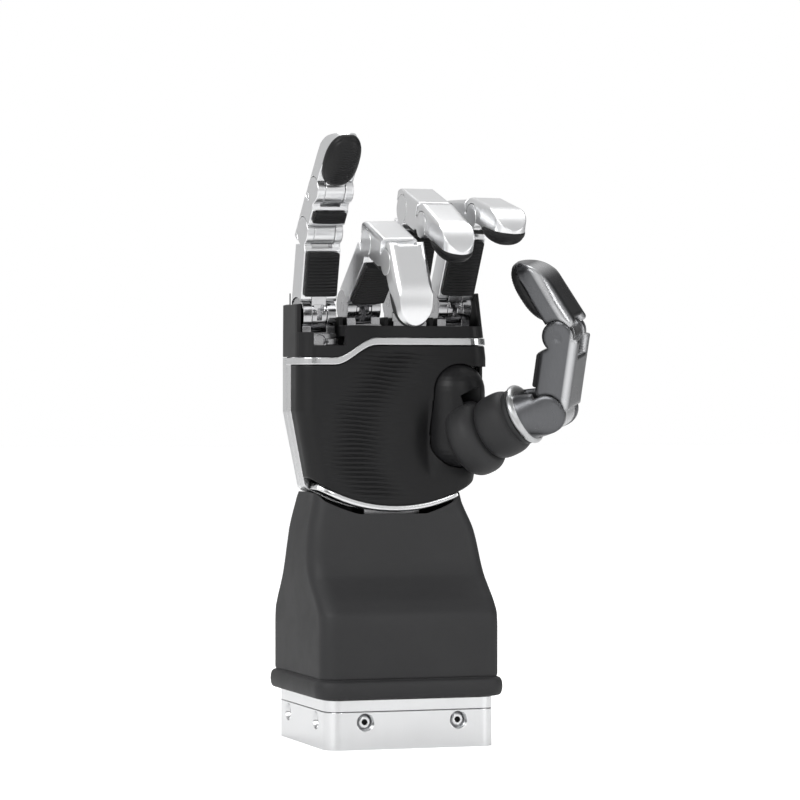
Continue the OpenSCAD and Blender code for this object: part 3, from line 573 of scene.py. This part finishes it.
# %% [markdown]
# The sleeve, the pads and the bellows all need soft changes from one size to another. An S
# curve gives a single step, and a curve through measured values gives a whole outline. A
# spline would swing past the values where they change fast. A cubic whose slopes are harmonic
# means never does, so a straight wall stays straight.

# %% Smooth steps and outlines
def ease(value, low, high):
    """0 below low, 1 above high and an S between them."""
    t = np.clip((value - low) / (high - low), 0, 1)
    return t * t * (3 - 2 * t)


def through(z, levels, values):
    """A smooth curve through values at levels: between two levels it is a cubic, and its slope
    at a level is the harmonic mean of the slopes on both sides, so it never overshoots."""
    at, v = np.array(levels, float), np.array(values, float)
    gap, rise = np.diff(at), np.diff(v) / np.diff(at)
    slope = np.zeros(len(at))
    same = rise[1:] * rise[:-1] > 0
    both = np.where(same, rise[1:] + rise[:-1], 1.0)
    slope[1:-1] = np.where(same, 2 * rise[1:] * rise[:-1] / both, 0.0)
    k = np.clip(np.searchsorted(at, z, side="right") - 1, 0, len(gap) - 1)
    t = np.clip((z - at[k]) / gap[k], 0, 1)
    return (v[k] * (1 + 2 * t) * (1 - t) ** 2 + v[k + 1] * t * t * (3 - 2 * t)
            + gap[k] * (slope[k] * t * (1 - t) ** 2 - slope[k + 1] * t * t * (1 - t)))


# %% [markdown]
# The wrist's sleeve is soft black rubber over two crossed joints. Its foot is a box, its front and
# back step in above the foot, and its sides draw in steadily toward the palm. Lofting between
# a few drawn sections would do, but then every section must be drawn. Here one section, a box
# with round corners, takes its four sides from outlines over the height.

# %% The sleeve's section
BOOT_Z0, BOOT_SPLIT = np.array(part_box("clamp_ring"))[1][2] / MM + 0.3, 81.0
BOOT_HALF = ([22, 58, 68, 80, 94, 108, 117], [41.25, 41.25, 41.2, 40.7, 38.9, 34.3, 30.8])
BOOT_MIDDLE = ([22, 58, 80, 94, 108, 117], [0, 0, -1.2, -2.0, -3.6, -4.4])
BOOT_STEP = [22, 52, 58, 64, 70, 76, 84, 94, 117]
BOOT_FRONT = [-41.25, -41.25, -40.6, -36.6, -30.8, -26.0, -23.2, -22.2, -20.4]
BOOT_BACK = [41.25, 41.25, 40.6, 36.6, 30.8, 26.0, 22.4, 20.6, 18.4]
CORNER_R = 7.5


def round_box(s, half, front, back, r):
    """Point at share s of the way round a box with round corners, counted from its right side.
    Half, front, back and r may be arrays that match s."""
    depth = back - front
    side, end, arc = depth - 2 * r, 2 * half - 2 * r, math.pi * r / 2
    lengths = [side, arc, end, arc, side, arc, end, arc]
    starts = [(half, front + r), (half - r, back - r), (half - r, back), (-half + r, back - r),
              (-half, back - r), (-half + r, front + r), (-half + r, front), (half - r, front + r)]
    heads = [90, 0, 180, 90, 270, 180, 0, 270]
    way = s * (2 * (side + end) + 4 * arc)
    x, y, done = np.zeros_like(way), np.zeros_like(way), np.zeros_like(way)
    for k in range(8):
        part = np.clip(way - done, 0, lengths[k])
        here = (way >= done - 1e-9) & (way <= done + lengths[k] + 1e-9)
        if k % 2 == 0:
            px = starts[k][0] + part * math.cos(math.radians(heads[k]))
            py = starts[k][1] + part * math.sin(math.radians(heads[k]))
        else:
            angle = math.radians(heads[k]) + part / r
            px, py = starts[k][0] + r * np.cos(angle), starts[k][1] + r * np.sin(angle)
        x, y = np.where(here, px, x), np.where(here, py, y)
        done = done + lengths[k]
    return x, y


def boot_net(z_of, rows, cols=176, swell=None):
    """Net of the sleeve: z_of(row share, x, y) gives the height, and the section at that height
    gives x and y. The heights depend on x and y, so both are worked out three times."""
    q, s = np.meshgrid(np.linspace(0, 1, rows), np.arange(cols) / cols, indexing="ij")
    z = z_of(q, np.zeros_like(q), np.zeros_like(q))
    for _ in range(3):
        out = swell(z) if swell else 0.0
        x, y = round_box(s, through(z, *BOOT_HALF) + out, through(z, BOOT_STEP, BOOT_FRONT) - out,
                         through(z, BOOT_STEP, BOOT_BACK) + out, CORNER_R + out)
        middle = through(z, *BOOT_MIDDLE)
        z = z_of(q, x, y)
    return np.stack([x + middle, y, z], axis=-1)


print("sleeve from", round(float(BOOT_Z0), 1), "to the palm, split at", BOOT_SPLIT)


# %% [markdown]
# At its foot the sleeve swells into a roll just above the clamp ring, with a fine crease above
# it. A ring laid round the foot would have to be joined to it. Here the
# section itself grows by half a circle over the height, and the net's rows lie close together
# there, so the roll is round without a dense net everywhere.

# %% The lower length and its bead
BEAD_MID, BEAD_HALF, BEAD_OUT = BOOT_Z0 + 4.1, 4.1, 2.2
CREASE_DEPTH, CREASE_ABOVE = 0.45, 0.2
FOOT_SHARE, FOOT_TALL = 0.3, 9.4


def bead(z):
    """How far the roll at the sleeve's foot stands out at height z, with a crease above it."""
    u = np.clip((z - BEAD_MID) / BEAD_HALF, -1, 1)
    roll = BEAD_OUT * np.sqrt(np.maximum(1 - u ** 2, 0)) ** 0.8
    crease = CREASE_DEPTH * np.exp(-((z - BEAD_MID - BEAD_HALF - CREASE_ABOVE) / 0.5) ** 2)
    return roll - crease


def lower_rows(q, x, y):
    """Heights of the lower length: the first share of the rows is kept for the roll."""
    foot = BOOT_Z0 + FOOT_TALL * np.clip(q / FOOT_SHARE, 0, 1)
    tall = BOOT_SPLIT - BOOT_Z0 - FOOT_TALL
    return np.where(q < FOOT_SHARE, foot,
                    BOOT_Z0 + FOOT_TALL + tall * (q - FOOT_SHARE) / (1 - FOOT_SHARE))


# %% [markdown]
# The sleeve's upper rim meets the palm, whose lower edge is an arc. In front the rim stays a
# little under the arc, so a narrow dark gap shows, and behind it reaches a little over it and
# closes the view through. Cutting the sleeve along the arc would leave ragged faces. Here each
# column of the net ends at its own height, and the rim is clean.

# %% The upper length and its rim
PALM_ARC_R, PALM_LOW_Z = 72.6, 103.0
PALM_ARC_Z = PALM_LOW_Z + PALM_ARC_R
RIM_GAP, RIM_OVER, RIM_LOW = 2.6, 1.8, 0.5


def cuff_rows(q, x, y):
    """Heights of the upper length. Its rim follows the palm's round lower edge: a little over
    it behind and, in front, a little under it and level in the middle."""
    arc = PALM_ARC_Z - np.sqrt((PALM_ARC_R + 0.35) ** 2 - np.minimum(np.abs(x) + 3, 60) ** 2)
    under = np.maximum(PALM_LOW_Z - RIM_LOW, arc - RIM_GAP * (1 - ease(np.abs(x), 30, 36)))
    over = arc + RIM_OVER * ease(y, 6, 14) * (1 - ease(np.abs(x), 20, 30))
    top = over + (under - over) * (1 - ease(y, -14, -4))
    return BOOT_SPLIT + (top - BOOT_SPLIT) * q


# %% [markdown]
# The sleeve is made in two lengths that meet at the split: the lower one from the clamp ring
# up to the split, the upper one from the split to the palm.

# %% Wrist sleeve
BOOT_WALL = 2.4


def from_axis(points):
    """Direction away from the wrist's upright axis."""
    return points * np.array([1, 1, 0])


boot = skin_piece("wrist_boot_skin", boot_net(lower_rows, 140, swell=bead), BOOT_WALL, from_axis,
                  wrap=True)
cuff = skin_piece("wrist_cuff_skin", boot_net(cuff_rows, 50), BOOT_WALL, from_axis, wrap=True)
for piece, node in ((boot, "wrist_boot"), (cuff, "wrist_cuff")):
    dress(piece, BOOT_RUBBER)
    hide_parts(node)
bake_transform(boot)
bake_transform(cuff)
print("sleeve has", len(boot.data.polygons), "and", len(cuff.data.polygons), "faces")


# %% [markdown]
# The palm's grip is a black rubber skin over the front of the frame, from seam to seam round
# both corners. Its top edge follows the silver trim, which steps up in an S. Cutting such a
# skin from a block takes many cuts, so the net is spanned between its two edges instead.

# %% The palm's outline
PALM_R = 9.0
PALM_LEVELS = ([96, 148, 172, 204], [34.5, 44.5, 44.5, 42.5])
PALM_MIDDLES = ([96, 172, 204], [-0.9, -0.9, -2.7])
PALM_FRONTS = ([96, 148, 204], [-18.0, -20.0, -20.0])
SEAM_Y, TRIM_Z, TRIM_S, TRIM_HALF = -4.3, (170.2, 179.1), (-30.0, -10.0), 1.8


def trim_z(x):
    """Height of the silver trim's middle: level, an S, then level."""
    u = np.clip((x - TRIM_S[0]) / (TRIM_S[1] - TRIM_S[0]), 0, 1)
    return TRIM_Z[0] + (TRIM_Z[1] - TRIM_Z[0]) * (1 - np.cos(math.pi * u)) / 2


def palm_front_line(s, z):
    """Point at share s along the palm's front outline, from its left seam to its right one,
    and the direction in which the skin faces there."""
    half, front = np.interp(z, *PALM_LEVELS), np.interp(z, *PALM_FRONTS)
    side = SEAM_Y - (front + PALM_R)
    arc, face = math.pi * PALM_R / 2, 2 * half - 2 * PALM_R
    way = s * (2 * side + 2 * arc + face)
    angle_l = np.clip((way - side) / PALM_R, 0, math.pi / 2)
    angle_r = np.clip((way - side - arc - face) / PALM_R, 0, math.pi / 2)
    flat = np.clip(way - side - arc, 0, face)
    x = -half + PALM_R * (1 - np.cos(angle_l)) + flat + PALM_R * np.sin(angle_r)
    drop = np.clip(way, 0, side)
    rise = np.clip(way - side - 2 * arc - face, 0, side)
    y = SEAM_Y - drop - PALM_R * np.sin(angle_l) + PALM_R * (1 - np.cos(angle_r)) + rise
    turn = angle_l + angle_r
    out = np.stack([-np.cos(turn), -np.sin(turn), np.zeros_like(turn)], axis=-1)
    return np.interp(z, *PALM_MIDDLES) + x, y, out


# %% [markdown]
# Fine wavy ribs cross the palm and fade out to both sides, and the grip dips in beside the
# thumb. A bump in the material would leave the surface smooth, so they are heights taken off
# the net: a raised cosine for each groove, two slow sines for its wave, and a bell curve for
# the band in which it is strong.

# %% Ribs and hollow of the palm
RIB_DEPTH, RIB_PITCH, RIB_BAND = 0.72, 2.05, 11.5
RIB_MIDDLE = ([108, 125, 150, 163, 175], [-8, -19, -17, -8, 2])
CARRIER_R, CARRIER_Z, BEARING_Z = 13.0, (122.0, 170.0), 118.0
CARRIER_X, CARRIER_Y = spot("thumb_swing")[:2]
HOLLOW_DEPTH, HOLLOW_REACH, KNOB_RISE, KNOB_SPREAD = 3.2, 7.0, 1.3, 60.0


def from_carrier(points):
    """Distance from the round carrier: from the part of its axis between its two domes."""
    low, high = CARRIER_Z[0] + CARRIER_R, CARRIER_Z[1] - CARRIER_R
    dz = points[..., 2] - np.clip(points[..., 2], low, high)
    return np.sqrt((points[..., 0] - CARRIER_X) ** 2 + (points[..., 1] - CARRIER_Y) ** 2
                   + dz ** 2) - CARRIER_R


def rib_depth(x, z):
    """Depth of the ribs: narrow wavy grooves 2 mm apart, strongest along a leaning band."""
    band = (np.exp(-((x - np.interp(z, *RIB_MIDDLE)) / RIB_BAND) ** 2)
            * ease(z, 106, 112) * (1 - ease(z, 172, 177)))
    wave = 0.35 * np.sin(x / 9.0 + 0.8) + 0.2 * np.sin(x / 3.7 + z / 6.0) + 0.045 * x
    groove = (0.5 + 0.5 * np.cos(2 * math.pi * (z + wave) / RIB_PITCH)) ** 3
    return RIB_DEPTH * groove * band


def beside_thumb(net):
    """How deep the grip lies beside the carrier: a hollow that fades with the distance from
    it, less a knob over its lower bearing."""
    x, z = net[..., 0], net[..., 2]
    near = np.exp(-(np.maximum(from_carrier(net), 0) / HOLLOW_REACH) ** 2)
    beside = ease(CARRIER_X - x, -4, 14) * (1 - ease(z, 140, 160)) * ease(z, 112, 124)
    hollow = HOLLOW_DEPTH * near * beside * (1 - ease(x, 14, 21))
    return hollow - KNOB_RISE * np.exp(-((x - CARRIER_X) ** 2 + (z - BEARING_Z) ** 2)
                                       / KNOB_SPREAD)


# %% [markdown]
# Now the grip itself. Its lower edge is the palm's arc and its upper edge the trim, and both
# are rounded over the last millimetre, as a moulded edge is. A Boolean could cut the room in
# which the thumb's carrier and bellows swing, but it would break up the even net. Here the
# faces in that room are left out, so its edge follows the net's own lines.

# %% Palm grip
GRIP_WALL, EDGE_ROUND, EDGE_DROP = 2.0, 1.2, 0.5
CARRIER_GAP, SWEPT_X, SWEPT_Y = 0.6, 33, -8.3


def palm_net(rows=330, cols=260):
    """Net of the grip: share q runs from the palm's arc up to the trim, share s from seam to
    seam. The edges' heights depend on x, so both are worked out four times."""
    q, s = np.meshgrid(np.linspace(0, 1, rows), np.linspace(0, 1, cols), indexing="ij")
    z = 105 + 70 * q
    for _ in range(4):
        x, y, out = palm_front_line(s, z)
        low = PALM_ARC_Z - np.sqrt(np.maximum((PALM_ARC_R - 3) ** 2 - x ** 2, 1))
        z = low + (trim_z(x) - TRIM_HALF - low) * q
    edge = np.minimum(np.minimum(q, 1 - q) * 70, np.minimum(s, 1 - s) * 120)
    inward = 1 - np.clip(edge / EDGE_ROUND, 0, 1)
    drop = EDGE_DROP * (1 - np.sqrt(np.clip(1 - inward ** 2, 0, 1)))
    net = np.stack([x, y, z], axis=-1)
    return net - out * (rib_depth(x, z) + drop + beside_thumb(net))[..., None]


def clear_of_carrier(centres):
    """Faces outside the room of the carrier and of the bellows that swing with it."""
    x, y, z = centres.T
    swept = ((x > SWEPT_X) & (y < SWEPT_Y) & (z > CARRIER_Z[0] - CARRIER_GAP)
             & (z < CARRIER_Z[1] - 2))
    return (from_carrier(centres) > CARRIER_GAP) & ~swept


def forward(centres):
    """The palm faces forward at every point."""
    return np.tile([0.0, -1.0, 0.0], (len(centres), 1))


palm_grip = skin_piece("palm_grip", palm_net(), GRIP_WALL, forward, keep=clear_of_carrier)
dress(palm_grip, GRIP_RUBBER)
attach(palm_grip, "palm")
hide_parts("palm_pad")
print("palm grip has", len(palm_grip.data.polygons), "faces")


# %% [markdown]
# The fingers' pads are rubber blocks let into the shells, with ribs straight across them for
# grip. An array of ribs joined to a block would leave seams. Here rings run along the pad, and
# each ring's front is lifted by a cosine of its place, so block and ribs are one body.

# %% Ribbed pads
RIB_TALL, PAD_PITCH, PAD_ROUND, PAD_CROWN, LIP_OUT = 0.45, 1.5, 1.2, 0.5, 1.0


def ribbed_pad(name, part, half_w, z0, z1, y_front, y_back, lip):
    """A pad from z0 to z1 whose ribs are a pitch apart; y_front is the top of the ribs. It is
    1 mm wider on both sides in front of y = lip, where it lies over the shell's walls."""
    rows = max(int((z1 - z0) / PAD_PITCH * 10), 60)
    q, t = np.meshgrid(np.linspace(0, 1, rows), np.arange(72) / 72 * 2 * math.pi, indexing="ij")
    z = z0 + (z1 - z0) * q
    from_end = np.minimum(z - z0, z1 - z)
    pinch = np.clip(PAD_ROUND - from_end, 0, PAD_ROUND)
    shrink = PAD_ROUND - np.sqrt(np.maximum(PAD_ROUND ** 2 - pinch ** 2, 0))
    c, s = np.cos(t), np.sin(t)
    x = (half_w - shrink) * np.sign(c) * np.abs(c) ** 0.35
    mid, deep = (y_front + y_back) / 2, (y_back - y_front) / 2
    y = mid + (deep - shrink) * np.sign(s) * np.abs(s) ** 0.35
    x = x + LIP_OUT * np.sign(c) * ease(lip - y, 0.0, 0.3) * np.minimum(np.abs(c) * 6, 1)
    count = max(round((z1 - z0 - 2) / PAD_PITCH), 2)
    wave = 0.5 - 0.5 * np.cos(2 * math.pi * count * (z - z0 - 1) / (z1 - z0 - 2))
    inside = ease(from_end, 0.8, 1.6)
    crown = PAD_CROWN * (np.abs(x) / (half_w + LIP_OUT)) ** 3
    y = y + ease(-s, 0.5, 0.9) * (crown + RIB_TALL * (1 - wave) ** 1.5 * inside)
    pad = closed_piece(name, placed(np.stack([x, y, z], axis=-1), *parts[part]))
    dress(pad, GRIP_RUBBER)
    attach(pad, part)
    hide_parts(f"{part}_pad")


WEB_NEAR, WEB_FAR = 2.0, 2.3
KNUCKLE_R, PIP_R, DIP_R, THUMB_MCP_R, THUMB_IP_R = 7.6, 6.2, 5.7, 8.6, 7.0
rows = [(f"{finger}_{part}", 6.7, near, far, front, back, -4.75) for finger in FINGERS
        for part, near, far, front, back in (("proximal", KNUCKLE_R, PIP_R, -7.6, -2.5),
                                             ("middle", PIP_R, DIP_R, -7.1, -2.7))]
rows.append(("thumb_proximal", 7.6, THUMB_MCP_R, THUMB_IP_R, -9.2, -3.2, -6.65))
for part, half_w, near, far, front, back, lip in rows:
    ribbed_pad(f"{part}_grip", part, half_w, near + WEB_NEAR, PHALANX_L[part] - far - WEB_FAR,
               front, back, lip)
print(len(rows), "ribbed pads")


# %% [markdown]
# A bright strip follows the palm's round lower edge, in front of the frame. It is one bent bar
# with round edges. A curve with a profile could draw it, but toward its left end the bar turns
# back with the palm's round corner, and a formula says that in one line. So its section, a box
# with soft corners, is carried along the arc as a stack of rings.

# %% The palm's arc
BAR = {"r": (69.4, 72.4), "y": (-18.2, -11.0), "x": (-37.4, 29.5)}


def bar_net(rows=100, cols=24):
    """Rings along the arc: the section's corners are as round as a cosine to the power 0.4,
    and y moves back by the height of the palm's corner round at that x."""
    ends = [math.asin(x / BAR["r"][1]) for x in BAR["x"]]
    turn, t = np.meshgrid(np.linspace(*ends, rows), np.arange(cols) / cols * 2 * math.pi,
                          indexing="ij")
    c, s = np.cos(t), np.sin(t)
    r = np.mean(BAR["r"]) + np.ptp(BAR["r"]) / 2 * np.sign(c) * np.abs(c) ** 0.4
    y = np.mean(BAR["y"]) + np.ptp(BAR["y"]) / 2 * np.sign(s) * np.abs(s) ** 0.4
    half = np.interp(PALM_ARC_Z - BAR["r"][1] * np.cos(turn), *PALM_LEVELS)
    from_middle = np.abs(BAR["r"][1] * np.sin(turn) - PALM_MIDDLES[1][0])
    into = np.clip(from_middle - (half - PALM_R), 0, PALM_R - 0.2)
    y = y + PALM_R - np.sqrt(PALM_R ** 2 - into ** 2)
    return np.stack([r * np.sin(turn), y, PALM_ARC_Z - r * np.cos(turn)], axis=-1)


palm_arc = closed_piece("palm_arc_trim", bar_net())
dress(palm_arc, BRIGHT_ALUMINIUM)
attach(palm_arc, "palm")
print("arc has", len(palm_arc.data.polygons), "faces")


# %% [markdown]
# A fingertip's pad is a lens of rubber: oval from the front, domed toward the palm, with a
# narrow flat rim and very fine ridges across it. A scaled sphere has neither the flat rim nor
# the full corners, so the rings grow from the middle and a formula of the share gives height.

# %% Fingertip pads
RIM_AT, RIM_RISE, RIDGE_TALL, RIDGE_PITCH, LENS_BACK = 0.93, 0.25, 0.10, 1.15, 0.9


def tip_pad(name, part, half_w, z_low, z_high, depth, node):
    """A domed oval pad whose dome starts 2 mm in front of the bone's axis and stands out by
    depth: the dome falls with the power 2.4 of the share of the way to the rim."""
    y_rim, rings, around = -2.0, 70, 128
    share = np.concatenate([np.linspace(0.02, 1, rings), np.linspace(1, 0.02, 12)])
    r, t = np.meshgrid(share, np.arange(around) / around * 2 * math.pi, indexing="ij")
    is_front = np.arange(len(share))[:, None] < rings
    c, s = np.cos(t), np.sin(t)
    mid, half_l = (z_low + z_high) / 2, (z_high - z_low) / 2
    x = r * half_w * np.sign(c) * np.abs(c) ** 0.80
    z = mid + r * half_l * np.sign(s) * np.abs(s) ** 0.84
    dome = np.maximum(1 - r ** 2.4, 0) ** 0.62
    rim = RIM_RISE * np.exp(-((r - RIM_AT) / 0.025) ** 2)
    ridges = RIDGE_TALL * np.cos(2 * math.pi * z / RIDGE_PITCH) * (1 - ease(r, 0.75, 0.9))
    y = np.where(is_front, y_rim - depth * dome + rim + ridges, y_rim + LENS_BACK)
    pad = closed_piece(name, placed(np.stack([x, y, z], axis=-1), *parts[part]))
    dress(pad, GRIP_RUBBER)
    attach(pad, part)
    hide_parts(node)


DISTAL_L = {"little": 31, "ring": 30, "middle": 31, "index": 31}
for finger in FINGERS:
    tip_pad(f"{finger}_tip_grip", f"{finger}_distal", 8.2, 4.4, DISTAL_L[finger], 6.0,
            f"{finger}_fingertip_pad")
tip_pad("thumb_tip_grip", "thumb_distal", 9.2, 8.0, 37.3, 5.4, "thumb_tip_pad")
print(len(FINGERS) + 1, "fingertip pads")


# %% [markdown]
# The thumb grows out of a bellows of two soft lobes. Each lobe is a round roll about the root,
# with a narrow valley between them. Turning a drawn profile would do the same. The formula takes
# the larger radius of the two lobes at every height, so the valley stays sharp.

# %% Thumb bellows
LOBES = ((17.0, 0.0, 7.3), (14.6, 14.8, 7.3))
VALLEY, NECK_R, FOOT_Z, RIM_Z = 11.6, 12.9, -7.2, 24.7


def bellows_radius(z):
    """Largest radius that any lobe reaches at place z along the thumb's root."""
    r = np.full_like(z, VALLEY)
    for radius, middle, half in LOBES:
        u = np.clip(np.abs(z - middle) / half, 0, 1)
        r = np.maximum(r, VALLEY + (radius - VALLEY) * (1 - u ** 2.6) ** 0.5)
    return np.maximum(r, VALLEY + (NECK_R - VALLEY) * ease(z, 20.5, 23.5))


z, t = np.meshgrid(np.linspace(FOOT_Z, RIM_Z, 140), np.arange(112) / 112 * 2 * math.pi,
                   indexing="ij")
r = bellows_radius(z)
bellows = closed_piece("thumb_bellows", placed(
    np.stack([r * np.cos(t), r * np.sin(t), z], axis=-1), root, axes))
dress(bellows, BOOT_RUBBER)
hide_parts("thumb_boot")
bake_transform(bellows)
print("bellows from", FOOT_Z, "to", RIM_Z)


# %% [markdown]
# The hand stands on its flange on a plain white floor. A floor with an edge would show a
# horizon. This one is very large, and to the camera alone its paint also glows a little, so it
# melts into the white room, while the metal mirrors it as plain paint.

# %% Floor
FLOOR_HALF, FLOOR_GLOW = 9000.0, 0.5
FLOOR_WHITE = (0.93, 0.93, 0.93)
corners = np.array([[-1, -1, 0], [1, -1, 0], [1, 1, 0], [-1, 1, 0]]) * FLOOR_HALF
floor = mesh_piece("floor", corners, [(0, 1, 2, 3)])
paint = finish("floor paint", FLOOR_WHITE, tuple(0.985 * c for c in FLOOR_WHITE), metal=0.0,
               rough=0.6, spread=0.02, relief=GRAIN, depth=0.0, scale=60.0)
shine = paint.node_tree.nodes["Principled BSDF"]
shine.inputs["Emission Strength"].default_value = FLOOR_GLOW
seen = paint.node_tree.nodes.new("ShaderNodeLightPath").outputs["Is Camera Ray"]
paint.node_tree.links.new(seen, shine.inputs["Emission Color"])
dress(floor, paint)
print("floor", 2 * FLOOR_HALF * MM, "m wide")


# %% [markdown]
# A large soft light from the upper left makes the long highlights on the metal. A weaker one
# fills the right, one from above lifts the fingers' backs, and a small one near the viewer
# opens the dark rubber in front. Point or sun lights would draw hard shadows and pinprick
# glints, so all four are square areas.

# %% Lights
def area_light(name, place, aim, size, power):
    """A square soft light at place that shines toward aim."""
    data = bpy.data.lights.new(name, "AREA")
    data.size, data.energy = size, power
    lamp = bpy.data.objects.new(name, data)
    lamp.location = place
    lamp.rotation_mode = "QUATERNION"
    lamp.rotation_quaternion = Vector(np.array(place) - np.array(aim)).to_track_quat("Z", "Y")
    bpy.context.scene.collection.objects.link(lamp)


LIGHTS = {"key": ((-1.0, -0.7, 0.9), (0, 0, 0.13), 0.7, 11),
          "fill": ((0.9, -0.7, 0.4), (0, 0, 0.13), 0.6, 2.5),
          "top": ((0.1, 0.2, 1.2), (0, 0, 0.15), 0.6, 6),
          "front": ((0.08, -1.5, 0.75), (0, 0, 0.2), 0.4, 3.5)}
for name, (place, aim, size, power) in LIGHTS.items():
    area_light(name, place, aim, size, power)
print("lights", {name: light[3] for name, light in LIGHTS.items()}, "W")


# %% [markdown]
# Polished metal shows little of its own and much of its surroundings. In an all-white room it
# would vanish against the white behind it, so the room is darker behind the viewer and in a
# strip at the right. A studio does the same with black card beside the white.

# %% White room
ROOM_LIGHT, ROOM_DARK = 0.80, 0.70


def toward(tree, direction, aim, low, high):
    """0 where a direction is far from aim, 1 close to it: their dot product, in steps."""
    ramp = tree.nodes.new("ShaderNodeMapRange")
    ramp.interpolation_type = "SMOOTHSTEP"
    tree.links.new(along(tree, direction, Vector(aim).normalized()), ramp.inputs["Value"])
    ramp.inputs["From Min"].default_value, ramp.inputs["From Max"].default_value = low, high
    return ramp.outputs["Result"]


def white_room():
    """White all round, darker behind the viewer and in one strip at the right, so that the
    metal has something to mirror. What the camera sees of the room itself is plain white."""
    world = bpy.data.worlds.new("white room")
    world.use_nodes = True
    tree = world.node_tree
    backdrop = tree.nodes["Background"]
    backdrop.inputs["Color"].default_value = (1, 1, 1, 1)
    lit = tree.nodes.new("ShaderNodeBackground")
    direction = tree.nodes.new("ShaderNodeTexCoord").outputs["Generated"]
    behind = toward(tree, direction, (-0.25, -0.97, 0.05), 0.88, 0.985)
    strip = toward(tree, direction, (0.97, 0.15, 0.15), 0.70, 0.95)
    shade = maths(tree, "MAXIMUM", maths(tree, "MULTIPLY", behind, ROOM_DARK),
                  maths(tree, "MULTIPLY", strip, ROOM_DARK))
    tree.links.new(maths(tree, "SUBTRACT", ROOM_LIGHT, shade), lit.inputs["Strength"])
    either = tree.nodes.new("ShaderNodeMixShader")
    tree.links.new(tree.nodes.new("ShaderNodeLightPath").outputs["Is Camera Ray"],
                   either.inputs["Fac"])
    tree.links.new(lit.outputs[0], either.inputs[1])
    tree.links.new(backdrop.outputs[0], either.inputs[2])
    tree.links.new(either.outputs[0], tree.nodes["World Output"].inputs["Surface"])
    return world


bpy.context.scene.world = white_room()
bpy.context.scene.view_settings.view_transform = "Standard"
print("room light", ROOM_LIGHT, "and", round(ROOM_LIGHT - ROOM_DARK, 2), "in its dark places")


# %% [markdown]
# The camera stands a little to the left of the palm, level and at mid height, so that upright
# edges stay upright. A short lens close by would swell what is near, such as the thumb, so the
# lens is long and stands well away. A small shift sets the hand left of the middle.

# %% Camera
AZIMUTH, AWAY, EYE_Z = math.radians(-18), 1.5, 0.153
camera = bpy.data.objects.new("camera", bpy.data.cameras.new("camera"))
camera.data.lens, camera.data.sensor_width = 150, 36
camera.location = (AWAY * math.sin(AZIMUTH), -AWAY * math.cos(AZIMUTH), EYE_Z)
camera.rotation_euler = (math.radians(90), 0, AZIMUTH)
camera.data.shift_x = 0.019
bpy.context.scene.collection.objects.link(camera)
bpy.context.scene.camera = camera
print("camera", AWAY, "m away, eye at", EYE_Z)
